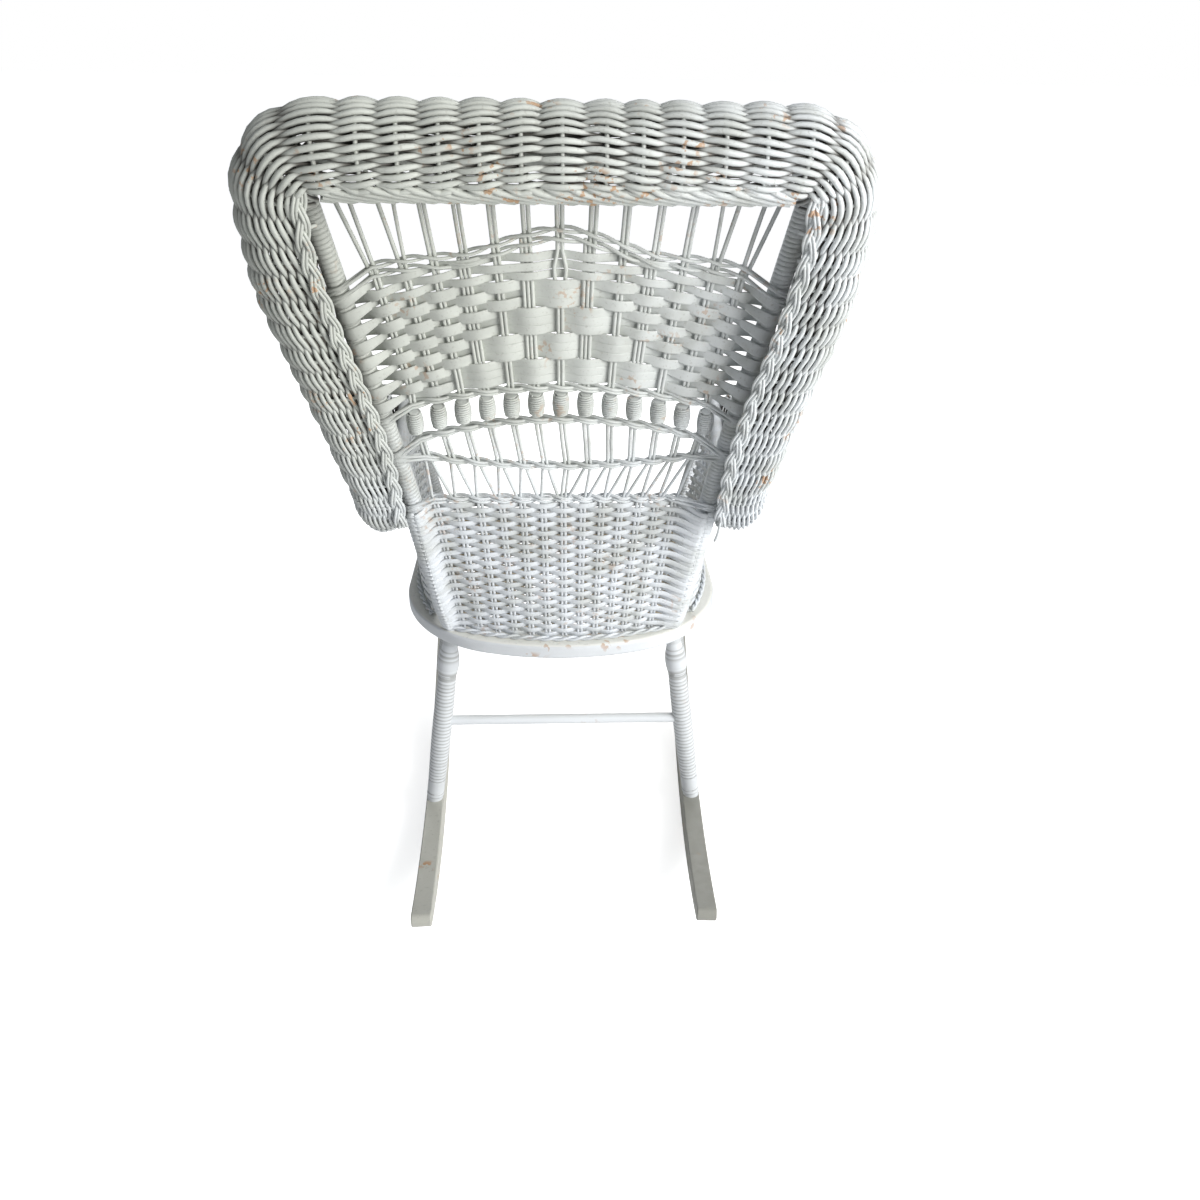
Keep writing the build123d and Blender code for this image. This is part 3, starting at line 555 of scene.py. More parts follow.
def finish_named(name):
    """The finish of that name, made on first use."""
    known = bpy.data.materials.get(name)
    if known:
        return known
    paint = colours()
    makers = {
        "painted_roll_reed": lambda: painted_reed(name, 0.75),
        "painted_openwork_reed": lambda: painted_reed(name, 0.35),
        "painted_splint": lambda: painted_reed(name, 0.45),
        "painted_panel_reed": lambda: painted_reed(name, 0.3),
        "painted_binding": lambda: painted_reed(name, 0.15),
        "painted_turning": lambda: painted_wood(name, paint.wood_paint, 0.25, 0.35),
        "painted_rim": lambda: painted_wood(name, paint.wood_paint, 0.9, 0.6, settling=paint.rim_dust),
        # Painted light: the stretchers take the wood paint made 1.14 times brighter
        "painted_bar_lit": lambda: painted_wood(name, scaled(paint.wood_paint, 1.14), 0.1, 0.2),
        "worn_rocker": lambda: painted_wood(name, paint.dusty_paint, 0.9, 0.9, darker_right=0.9),
        "seat_cane": lambda: woven_cane(name),
    }
    return makers[name]()


def dress(names, finish):
    """Gives solid pieces of the frame a finish."""
    for name in names:
        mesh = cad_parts[name].data
        mesh.materials.clear()
        mesh.materials.append(finish_named(finish))
        paint_shade_depth(mesh)


# Rolled edge

class Section:
    """One cross-section of the rolled edge."""

    def __init__(self, centre, outward, hidden, radius, front, rear=ROLL_REAR_ANGLE, dip=0.0, flat=0.0):
        self.centre = centre
        self.outward = outward
        self.hidden = hidden
        self.radius = radius
        self.front = front
        self.rear = rear
        self.dip = dip
        self.flat = flat

    def mirrored(self):
        flip = Vector((-1, 1, 1))
        return Section(self.centre * flip, self.outward * flip, self.hidden * flip,
                       self.radius, self.front, self.rear, self.dip, self.flat)

    def towards(self, other, share):
        return Section(self.centre.lerp(other.centre, share), self.outward.lerp(other.outward, share),
                       self.hidden.lerp(other.hidden, share), mix(self.radius, other.radius, share),
                       mix(self.front, other.front, share), mix(self.rear, other.rear, share),
                       mix(self.dip, other.dip, share), mix(self.flat, other.flat, share))

    def point(self, angle, radius, sideways=0.0):
        """Point at an angle in degrees from the outward direction, moved sideways round the roll."""
        turn = math.radians(angle)
        ray = self.outward * math.cos(turn) + self.hidden * math.sin(turn)
        along = self.hidden * math.cos(turn) - self.outward * math.sin(turn)
        place = ray * radius
        if angle > 90 and self.flat:
            lean = self.outward * -math.cos(WING_SLOPE) - self.hidden * math.sin(WING_SLOPE)
            straight = self.hidden * radius + lean * self.radius * math.radians(angle - 90)
            place = place.lerp(straight, self.flat)
            along = along.lerp(lean, self.flat)
        sunk = DOWN * self.dip * (1.6 * ease((angle + 70) / 210) - 0.6)
        return self.centre + place + along * sideways + sunk

    def level(self, point):
        """Distance of a point from the roll's middle, as a radius."""
        away = point - self.centre
        outward, hidden = away.dot(self.outward), away.dot(self.hidden)
        level = math.hypot(outward, hidden)
        if outward < 0 < hidden:
            level = mix(level, hidden - outward * math.tan(WING_SLOPE), self.flat)
        return level

    def row_angle(self, share):
        return mix(self.front, self.rear, share)


def spread(sections, count):
    """Sections with even steps added between given ones."""
    made = []
    for first, second in zip(sections, sections[1:]):
        made += [first.towards(second, index / count) for index in range(count)]
    return made + [sections[-1]]


def half_roll():
    """Left half of the rolled edge over the back: half the top, the corner and the wing."""
    top_centre = [back_point(s, TOP_ROLL_T, TOP_ROLL_SET_BACK) for s in (0.0, ROLL_CORNER_S)]
    top = spread([Section(c, UP, REAR, TOP_ROLL_RADIUS, TOP_FRONT_ANGLE, TOP_WEAVE_END)
                  for c in top_centre], 8)
    corner = []
    for share in steps(10)[1:]:
        turn = math.radians(90 * (1 - share))
        s = ROLL_CORNER_S + ROLL_CORNER_RADIUS * math.cos(turn)
        t = TOP_ROLL_T + ROLL_CORNER_RADIUS * (math.sin(turn) - 1)
        r = mix(TOP_ROLL_SET_BACK, WING_SET_BACK, share)
        outward = SIDE * math.cos(turn) + UP * math.sin(turn)
        front = mix(TOP_FRONT_ANGLE, WING_TOP_FRONT_ANGLE, share)
        rear = mix(TOP_WEAVE_END, CORNER_WEAVE_END, share)
        corner.append(Section(back_point(s, t, r), outward, REAR, TOP_ROLL_RADIUS, front, rear))
    wing = [Section(back_point(s * MM, t * MM, WING_SET_BACK), SIDE, REAR, radius * MM, front, rear,
                    flat=1.0)
            for t, s, radius, front, rear in WING_ROWS]
    wing[-1].dip = WING_FOOT_DIP
    wing = spread([corner[-1]] + wing, 6)[1:]
    return top + corner + wing


def half_arm(start):
    """Elbow, arm, its front bend and the run down to the seat, from the wing's foot."""
    pivot = start.centre - REAR * ELBOW_RADIUS
    elbow = []
    for share in steps(8):
        angle = mix(TILT, math.pi / 2, share)
        hidden = Vector((0, math.cos(angle), -math.sin(angle)))
        dip = mix(WING_FOOT_DIP, 0.0, share) + ELBOW_DIP * math.sin(math.pi * share) / 2
        elbow.append(Section(pivot + hidden * ELBOW_RADIUS, SIDE, hidden, start.radius,
                             SIDE_FRONT_ANGLE, mix(start.rear, ROLL_REAR_ANGLE, share), dip, 1 - share))
    arm = [Section(Vector((x, y, z)) * MM, SIDE, DOWN, radius * MM, SIDE_FRONT_ANGLE)
           for y, x, z, radius in ARM_ROWS]
    arm = spread([elbow[-1]] + arm, 4)[1:]
    tip = arm[-1]
    pivot = tip.centre + DOWN * FRONT_BEND_RADIUS
    bend = []
    for share in steps(8)[1:]:
        angle = math.pi / 2 * share
        hidden = Vector((0, math.sin(angle), -math.cos(angle)))
        bend.append(Section(pivot - hidden * FRONT_BEND_RADIUS, SIDE, hidden, tip.radius, SIDE_FRONT_ANGLE))
    rear = Vector((0, 1, 0))
    front_y = bend[-1].centre.y
    front = [Section(Vector((x * MM, front_y, z * MM)), SIDE, rear, radius * MM, SIDE_FRONT_ANGLE)
             for x, z, radius in ARM_FRONT_ROWS]
    front = spread([bend[-1]] + front, 4)[1:]
    return elbow + arm + bend + front


def smoothed(sections, rounds=2):
    """Evens out the corners of a run of sections, keeping its ends."""
    for _ in range(rounds):
        middle = [before.towards(after, 0.5).towards(here, 0.5)
                  for before, here, after in zip(sections, sections[1:], sections[2:])]
        sections = [sections[0], *middle, sections[-1]]
    return sections


# Where the roll's weave gets painted shade, measured from its outside, and how open its inner face is
WEAVE_DEPTH = 7.4 * MM
WEAVE_SHADE = 4.8 * MM
INNER_FACE = 4.0 * MM
INNER_OPENNESS = 0.6


class RollRun:
    """A run of sections, measured in stakes passed along it."""

    def __init__(self, sections):
        size = sizes()
        self.sections = sections
        self.count = [0.0]
        for here, there in zip(sections, sections[1:]):
            outer = (here.point(60, here.radius) - there.point(60, there.radius)).length
            middle = (here.centre - there.centre).length
            share = min(1.0, max(0.0, (TOP_ROLL_RADIUS - there.radius) / (6 * MM)))
            if abs(there.outward.x) > 0.98:
                share = 1.0
            gap = mix(size.top_stake_gap, size.wing_stake_gap, share)
            self.count.append(self.count[-1] + (0.5 * outer + 0.5 * middle) / gap)

    def at(self, stakes):
        index = bisect.bisect_right(self.count, stakes) - 1
        index = min(max(index, 0), len(self.sections) - 2)
        low, high = self.count[index], self.count[index + 1]
        return self.sections[index].towards(self.sections[index + 1], (stakes - low) / (high - low))

    def depth(self):
        """Function that tells how open to the air a point on this run is, which sets its painted shade."""
        fine = spread(self.sections, 4)
        tree = kdtree.KDTree(len(fine))
        for index, section in enumerate(fine):
            tree.insert(section.centre, index)
        tree.balance()

        def shade_openness(point):
            section = fine[tree.find(point)[1]]
            above = section.level(point) - section.radius + WEAVE_DEPTH
            if above < -INNER_FACE:
                return INNER_OPENNESS
            return min(1.0, max(0.0, above / WEAVE_SHADE))

        return shade_openness


ROLL_POINTS_PER_STAKE = 5
ROLL_WAVE = 0.74
STAKE_UNEVEN = 0.22
REED_UNEVEN = 1.3 * MM
REED_SUNK = 1.4 * MM
REED_TWIST = 0.75
# Every other row stops where the arm's front grows this narrow
THIN_FROM_Y = -200.0 * MM
THIN_FROM_RADIUS = 24.0 * MM


def reed_scale(section):
    return max(0.3, min(1.0, (section.radius / TOP_ROLL_RADIUS) ** 0.55))


def weave_roll(run, reeds, stakes, rows, twist=1.0, thin_from=None, mirrored=False):
    """Twines pairs of reeds along a run, over stakes that go round it."""
    size = sizes()
    reed = size.roll_reed / 2
    rod = size.stake / 2
    first, last = run.count[0], run.count[-1]
    total = max(2, int((last - first) * ROLL_POINTS_PER_STAKE))
    middle = (first + last) / 2 if mirrored else last

    def uneven_place(place):
        return place + wobble(5.0, place * 0.7, STAKE_UNEVEN)

    for row in range(rows):
        stop = last
        if thin_from is not None and row % 2:
            stop = thin_from
        for half in (0, 1):
            points, scales = [], []
            for index in range(total + 1):
                place = mix(first, last, index / total)
                if place > stop:
                    break
                section = run.at(place)
                scale = reed_scale(section)
                phase = math.pi * (uneven_place(place) + half)
                uneven = wobble(row + 1.37 * half, place * 0.6, REED_UNEVEN) * scale
                wave = (rod + reed * scale) * ROLL_WAVE * scale
                sunk = abs(wobble(row * 2.3 + half, place * 0.5 + 40, REED_SUNK))
                radius = section.radius - reed * scale - wave + wave * math.cos(phase) - sunk
                side = twist * min(1.0, max(-1.0, middle - place))
                sideways = -side * REED_TWIST * reed * scale * math.sin(phase) + uneven
                angle = section.row_angle((row + 0.5) / rows)
                points.append(section.point(angle, radius, sideways))
                swell = mix(0.66, 1.08, ease(0.5 + 0.5 * math.cos(phase)))
                scales.append(scale * swell * (1 + wobble(row * 3.1 + half, place, 0.12)))
            if len(points) > 2:
                reeds.add(points, scales)
    for number in range(math.ceil(first), math.floor(last) + 1):
        section = run.at(number - wobble(5.0, number * 0.7, STAKE_UNEVEN))
        scale = reed_scale(section)
        level = section.radius - reed * scale - (rod + reed * scale) * ROLL_WAVE * scale
        stop = mix(ROLL_REAR_ANGLE + 6, section.rear + 1, section.flat)
        angles = [mix(section.front, stop, share) for share in steps(16)]
        stakes.add([section.point(angle, level) for angle in angles], max(0.55, scale))


class WICKER_OT_rolled_edge(bpy.types.Operator):
    """Weave the rolled edge over the back, the wings and the arms"""

    bl_idname = "wicker.rolled_edge"
    bl_label = "Rolled edge"

    def execute(self, context):
        size = sizes()
        finish = finish_named("painted_roll_reed")
        left = smoothed(half_roll())
        sections = list(reversed(left))
        sections += [section.mirrored() for section in left[1:]]
        run = RollRun(sections)
        reeds = Reeds("back_roll_weave", size.roll_reed)
        stakes = Reeds("back_roll_stakes", size.stake)
        weave_roll(run, reeds, stakes, size.roll_rows, mirrored=True)
        depth = run.depth()
        nodes = ["top_roll", *both("corner_roll"), *both("wing_roll")]
        finish_piece(reeds, finish, nodes, depth)
        finish_piece(stakes, finish, (), depth)
        arm = smoothed(half_arm(left[-1]), 1)
        for side, shape in (("left", arm), ("right", [section.mirrored() for section in arm])):
            self.weave_arm(side, shape, run, finish)
        return {"FINISHED"}

    def weave_arm(self, side, sections, back, finish):
        size = sizes()
        start = back.count[0] if side == "left" else back.count[-1]
        run = RollRun(sections)
        offset = 2 - (start % 2) if side == "left" else start % 2
        run.count = [stakes + offset for stakes in run.count]
        reeds = Reeds("arm_roll_weave_" + side, size.roll_reed)
        stakes = Reeds("arm_roll_stakes_" + side, size.stake)
        twist = -1.0 if side == "left" else 1.0
        narrow = next(count for count, section in zip(run.count, run.sections)
                      if section.centre.y < THIN_FROM_Y and section.radius < THIN_FROM_RADIUS)
        weave_roll(run, reeds, stakes, size.roll_rows, twist, narrow)
        depth = run.depth()
        nodes = ["arm_roll_" + side, "arm_front_" + side]
        finish_piece(reeds, finish, nodes, depth)
        finish_piece(stakes, finish, (), depth)


# Edgings of the roll

PLAIT_FACING = 108.0
WING_PLAIT_REED = 3.6 * MM
WING_PLAIT = {"width": 5.0 * MM, "depth": 2.6 * MM, "period": 82 * MM, "strand_gap": 1.7 * MM}
ARM_PLAIT_REED = 2.9 * MM
ARM_PLAIT = {"width": 4.0 * MM, "depth": 2.1 * MM, "period": 52 * MM, "strand_gap": 1.4 * MM}
ARM_PLAIT_END_Y = -157.0 * MM
TOP_BORDER_REED = 6.2 * MM
TOP_BORDER_CORE = 6.0 * MM


def plait(reeds, line, width, depth, period, strand_gap):
    """Three-strand plait; line gives place, sideways and outward directions at a distance."""
    length, frame_at = line
    count = max(8, int(length / (period / 14)))
    for strand in range(3):
        for twin in (-1, 1):
            points = []
            for index in range(count + 1):
                place = length * index / count
                turn = 2 * math.pi * (place / period + strand / 3)
                centre, sideways, outward = frame_at(place)
                across = width * math.sin(turn) + twin * strand_gap
                points.append(centre + sideways * across + outward * depth * math.sin(2 * turn))
            reeds.add(points)


def measured_line(points, outs):
    """A line as its length and a function that gives place, sideways and outward at a distance."""
    along = [0.0]
    for here, there in zip(points, points[1:]):
        along.append(along[-1] + (there - here).length)

    def frame_at(place):
        index = min(max(bisect.bisect_right(along, place) - 1, 0), len(points) - 2)
        share = min(1.0, (place - along[index]) / max(1e-9, along[index + 1] - along[index]))
        outward = outs[index].lerp(outs[index + 1], share).normalized()
        ahead = (points[index + 1] - points[index]).normalized()
        return points[index].lerp(points[index + 1], share), ahead.cross(outward).normalized(), outward

    return along[-1], frame_at


def curve_through(points, count):
    """Smooth line through given points."""
    padded = [points[0] * 2 - points[1], *points, points[-1] * 2 - points[-2]]
    made = []
    for a, b, c, d in zip(padded, padded[1:], padded[2:], padded[3:]):
        for share in steps(count)[:-1]:
            bend = a * -1 + b * 3 - c * 3 + d
            lift = a * 2 - b * 5 + c * 4 - d
            made.append(b + ((c - a) * share + lift * share ** 2 + bend * share ** 3) * 0.5)
    return made + [points[-1]]


def wing_lip(side):
    """Line of the plait down the wing's inner lip, from the corner to its loose lower end."""
    points = []
    for t, beyond, behind in reversed(WING_LIP):
        s = post_s(t * MM) + beyond * MM
        points.append(back_point(s * side, t * MM, behind * MM))
    line = curve_through(points, 10)
    out = (REAR * 0.94 - SIDE * side * 0.34).normalized()
    return measured_line(line, [out] * len(line))


def arm_lip(sections, tip):
    """Line of the plait under the arm, up to a given section."""
    chosen = spread(sections[:tip + 1], 6)
    points = [section.point(ROLL_REAR_ANGLE + 8, section.radius - 2.5 * MM) for section in chosen]
    turn = math.radians(PLAIT_FACING)
    outs = [section.outward * math.cos(turn) + section.hidden * math.sin(turn) for section in chosen]
    return measured_line(points, outs)


class WICKER_OT_edgings(bpy.types.Operator):
    """Lay the twisted border under the top roll and the plaits along wings and arms"""

    bl_idname = "wicker.edgings"
    bl_label = "Edgings"

    def execute(self, context):
        finish = finish_named("painted_roll_reed")
        self.top_border(finish)
        arm = smoothed(half_arm(smoothed(half_roll())[-1]), 1)
        tip = next(index for index, section in enumerate(arm) if section.centre.y < ARM_PLAIT_END_Y)
        for side, sign in (("left", 1), ("right", -1)):
            reeds = Reeds("wing_braid_reed_" + side, WING_PLAIT_REED)
            plait(reeds, wing_lip(sign), **WING_PLAIT)
            if side == "right":
                self.loose_end(reeds)
            finish_piece(reeds, finish, ["wing_braid_" + side])
            shape = arm if side == "left" else [section.mirrored() for section in arm]
            reeds = Reeds("arm_braid_reed_" + side, ARM_PLAIT_REED)
            plait(reeds, arm_lip(shape, tip), **ARM_PLAIT)
            finish_piece(reeds, finish, ["arm_braid_" + side])
        return {"FINISHED"}

    def loose_end(self, reeds):
        """Reed that hangs free from the lower end of the right plait."""
        t, beyond, behind = WING_LIP[0]
        s = post_s(t * MM) + beyond * MM
        reeds.add([back_point(-s + share * 4 * MM, (t + 14 - 38 * share) * MM,
                              behind * MM + 5 * MM * math.sin(3 * share)) for share in steps(6)])

    def top_border(self, finish):
        """Stake ends laid down slantwise, each over the next, and tucked under the roll's lip."""
        top = [back_point(s, TOP_ROLL_T, TOP_ROLL_SET_BACK) for s in (ROLL_CORNER_S, -ROLL_CORNER_S)]
        run = RollRun(spread([Section(c, UP, REAR, TOP_ROLL_RADIUS, TOP_FRONT_ANGLE) for c in top], 4))
        reeds = Reeds("top_border_reed", TOP_BORDER_REED)
        last = run.count[-1]
        number = -2.0
        while number < last:
            points = []
            for share in steps(16):
                place = number + 2.2 * share
                if not 0 <= place <= last:
                    continue
                section = run.at(place)
                angle = mix(112, 152, share) + wobble(number * 3.1, share * 2, 2.5)
                sunk = 4.5 * (1 - ease(share / 0.2)) + 6.0 * ease((share - 0.8) / 0.2)
                points.append(section.point(angle, section.radius - (3.1 + sunk) * MM))
            if len(points) > 3:
                reeds.add(points)
            number += 0.5
        under = Reeds("top_border_core_shaded", TOP_BORDER_CORE)
        for angle, depth in ((130, 9.5), (140, 9.0), (150, 8.5), (158, 7.0)):
            level = TOP_ROLL_RADIUS - depth * MM
            under.add([run.at(last * share).point(angle, level) for share in steps(24)])
        finish_piece(reeds, finish, ["top_border"])
        # The core under the border is painted in deep shade (openness 0.1), the dark under the roll's lip
        finish_piece(under, finish, (), lambda point: 0.1)


# Openwork of the back

POST_REED_GAP = 3.8 * MM
# The outer pairs above the arch, from the fourth outwards: lean away from the middle and half spread
FAN_LEANS = (0.0, 1.0 * MM, 12.0 * MM)
FAN_SPREADS = (None, 11.0 * MM, 9.0 * MM)


def round_post(t, sign, drop):
    """Points that carry a reed from the outermost spoke round the rear and outside of a post."""
    s = post_s(t)
    reach = POST_RADIUS + POST_REED_GAP
    turns = ((-0.45, 0.9, 0.5), (0.4, 0.92, 1.0), (1.0, 0.1, 1.5), (0.6, -0.8, 1.8))
    return [back_point(sign * (s + across * reach), t - drop * fall, behind * reach)
            for across, behind, fall in turns]


def twine_row(reeds, line, places, end_t, reed, rod, rise=0.0, phase=0):
    """Two reeds twisted round each spoke in turn and then round the posts."""
    last = len(places) - 1
    for half in (0, 1):
        points = []
        for index in range(last):
            for share in steps(6)[:-1]:
                s = mix(places[index], places[index + 1], share)
                turn = math.pi * (index + share + half + phase)
                deep = (rod + reed) * math.cos(turn)
                lift = 1.05 * reed * math.sin(turn)
                points.append(line(s) + REAR * deep + UP * (lift + rise))
        turn = math.pi * (last + half + phase)
        points.append(line(places[-1]) + REAR * (rod + reed) * math.cos(turn) + UP * rise)
        drop = (7 + 4 * half) * MM
        level = end_t + rise
        reeds.add(list(reversed(round_post(level, -1, drop))) + points + round_post(level, 1, drop))


def rail_places(shape):
    """Sideways places where a rail passes the spokes."""
    return [spoke_s(number, arc_height(shape, spoke_s(number, shape[1]))) for number in PAIRS]


def spoke_reeds(reeds, top_of, low_of, fanned=False):
    """Pairs of spokes between two heights; in a fan the inner one leans to the next pair's foot."""
    rod = sizes().stake / 2
    for number in PAIRS:
        for twin in (-1, 1):
            high, low = top_of(number), low_of(number)
            s_high = spoke_s(number, high) + twin * rod
            s_low = spoke_s(number, low) + twin * rod
            if fanned and twin * number < 0:
                s_low = spoke_s(number + twin, low) - 2.4 * twin * rod
            points = []
            for share in steps(4):
                sway = wobble(number * 2.3 + twin, share * 2, 0.8 * MM) * math.sin(math.pi * share)
                points.append(back_point(mix(s_low, s_high, share) + sway, mix(low, high, share)))
            reeds.add(points)


class WICKER_OT_openwork(bpy.types.Operator):
    """Set the spokes of the back and twine its rails"""

    bl_idname = "wicker.openwork"
    bl_label = "Openwork"

    def execute(self, context):
        size = sizes()
        finish = finish_named("painted_openwork_reed")
        hoop_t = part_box("top_hoop_rail")[1].z
        top = (hoop_t - POST_RADIUS * 2 - KNEE_Z) / math.cos(TILT) + 2 * MM

        def rail_at(shape):
            return lambda number: arc_height(shape, spoke_s(number, shape[1]))

        upper = Reeds("top_spoke_reeds", size.stake)
        for number in PAIRS:
            self.fanned_pair(upper, number, top)
        finish_piece(upper, finish, ["top_spokes"])
        band = Reeds("band_spoke_reeds", size.stake * 0.92)
        spoke_reeds(band, rail_at(LOWER_BEAD), rail_at(SAG))
        finish_piece(band, finish, ["band_spokes"])
        fan = Reeds("fan_spoke_reeds", size.stake * 0.85)
        spoke_reeds(fan, rail_at(SAG), lambda number: 0.0, True)
        finish_piece(fan, finish, ["fan_spokes"])
        self.rails(finish)
        return {"FINISHED"}

    def fanned_pair(self, reeds, number, top):
        """Spoke pair above the arch; the outer two pairs on each side spread apart upwards."""
        rod = sizes().stake / 2
        low = arc_height(ARCH, spoke_s(number, ARCH[0])) - 8 * MM
        s_low = spoke_s(number, low)
        s_high = spoke_s(number, top)
        outer = max(0, abs(number) - 4)
        for twin in (-1, 1):
            lean = math.copysign(FAN_LEANS[outer], number)
            part = twin * (FAN_SPREADS[outer] or rod)
            start = back_point(s_low + twin * rod, low)
            end = back_point(s_high + lean + part, top)
            bow = Vector((wobble(number + twin, 1.0, 2.0 * MM), 0, 0))
            reeds.add([start.lerp(end, share) + bow * math.sin(math.pi * share) for share in steps(5)])

    def rails(self, finish):
        size = sizes()
        reed, rod = size.rail_reed / 2, size.stake / 2
        arch = Reeds("arch_rail_reeds", size.rail_reed)
        places = rail_places(ARCH)
        for rise in (4.6 * MM, -5.2 * MM):
            twine_row(arch, lambda s: back_point(s, arch_height(s)), places, ARCH[0],
                      reed, rod, rise, rise > 0)
        finish_piece(arch, finish, ["arch_rail"])
        bent = {"upper_bead_rail": UPPER_BEAD, "lower_bead_rail": LOWER_BEAD, "sag_rail": SAG}
        for name, shape in bent.items():
            reeds = Reeds(name + "_reeds", size.rail_reed)
            places = rail_places(shape)
            for rise, phase in ((1.6 * MM, 0), (-2.2 * MM, 1)):
                twine_row(reeds, lambda s: back_point(s, arc_height(shape, s)), places, shape[0],
                          reed * 0.9, rod, rise, phase)
            finish_piece(reeds, finish, [name])
        flat = Reeds("panel_top_rail_reeds", size.rail_reed)
        places = [spoke_s(number, 0) for number in PAIRS]
        for rise, phase in ((2.6 * MM, 0), (-2.6 * MM, 1)):
            twine_row(flat, lambda s: back_point(s, 0), places, 0.0, reed, rod, rise, phase)
        finish_piece(flat, finish, ["panel_top_rail"])


class WICKER_OT_barrel_beads(bpy.types.Operator):
    """Wind the row of barrel beads"""

    bl_idname = "wicker.barrel_beads"
    bl_label = "Barrel beads"

    turns = 10
    points_per_turn = 14
    half = 13.6 * MM
    reed = 2.4 * MM
    core = 13.4 * MM
    end_radius = 7.4
    mid_radius = 9.0

    def execute(self, context):
        winding = Reeds("bead_windings", self.reed)
        cores = Reeds("bead_barrels", self.core)
        for number in PAIRS:
            s = spoke_s(number, UPPER_BEAD[0])
            low, high = arc_height(LOWER_BEAD, s), arc_height(UPPER_BEAD, s)
            middle = (low + high) / 2
            points = []
            total = self.turns * self.points_per_turn
            for index in range(total + 1):
                share = index / total
                turn = 2 * math.pi * self.turns * share + number
                radius = mix(self.end_radius, self.mid_radius, math.sin(math.pi * share)) * MM
                centre = back_point(s, mix(middle - self.half, middle + self.half, share))
                points.append(centre + SIDE * radius * math.cos(turn) + REAR * radius * math.sin(turn))
            winding.add(points)
            barrel = [back_point(s, mix(middle - self.half, middle + self.half, share))
                      for share in steps(8)]
            cores.add(barrel, [mix(0.98, 1.2, math.sin(math.pi * share)) for share in steps(8)])
        finish = finish_named("painted_openwork_reed")
        finish_piece(winding, finish, ["wound_beads"])
        finish_piece(cores, finish, ["bead_cores", "bead_stakes"], self.core_painted_shade)
        return {"FINISHED"}

    def core_painted_shade(self, point):
        """A barrel's ends are open to the air; its sides lie under the winding and are painted in deep
        shade.
        """
        s = spoke_s(round(point.x / SPOKE_PITCH_LOW), UPPER_BEAD[0])
        middle = (arc_height(LOWER_BEAD, s) + arc_height(UPPER_BEAD, s)) / 2
        away = abs((point - back_point(s, middle)).dot(UP))
        return 0.8 if away > self.half - 1.0 * MM else 0.05


# Splint panel

SPLINT_ROWS = 15
NARROW_ROWS = 3
ROWS_PER_BAND = 3
# Share of the full width that a splint has in narrow rows, in the middle, and beside the posts
NARROW_SHARE = 0.7
MIDDLE_SHARE = 0.88
PINCHED_SHARE = 0.5
POST_SHARE = 1.12


def splint_over(row, number):
    """Whether a splint passes behind a spoke pair, where it is seen from the rear."""
    away = abs(number)
    if row < NARROW_ROWS:
        if away <= 1:
            return away == 1
        return (row + away) % 2 == 1
    band = (row - NARROW_ROWS) // ROWS_PER_BAND
    if away <= band + 1:
        return (away + band) % 2 == 0
    return (row + away) % 2 == 1


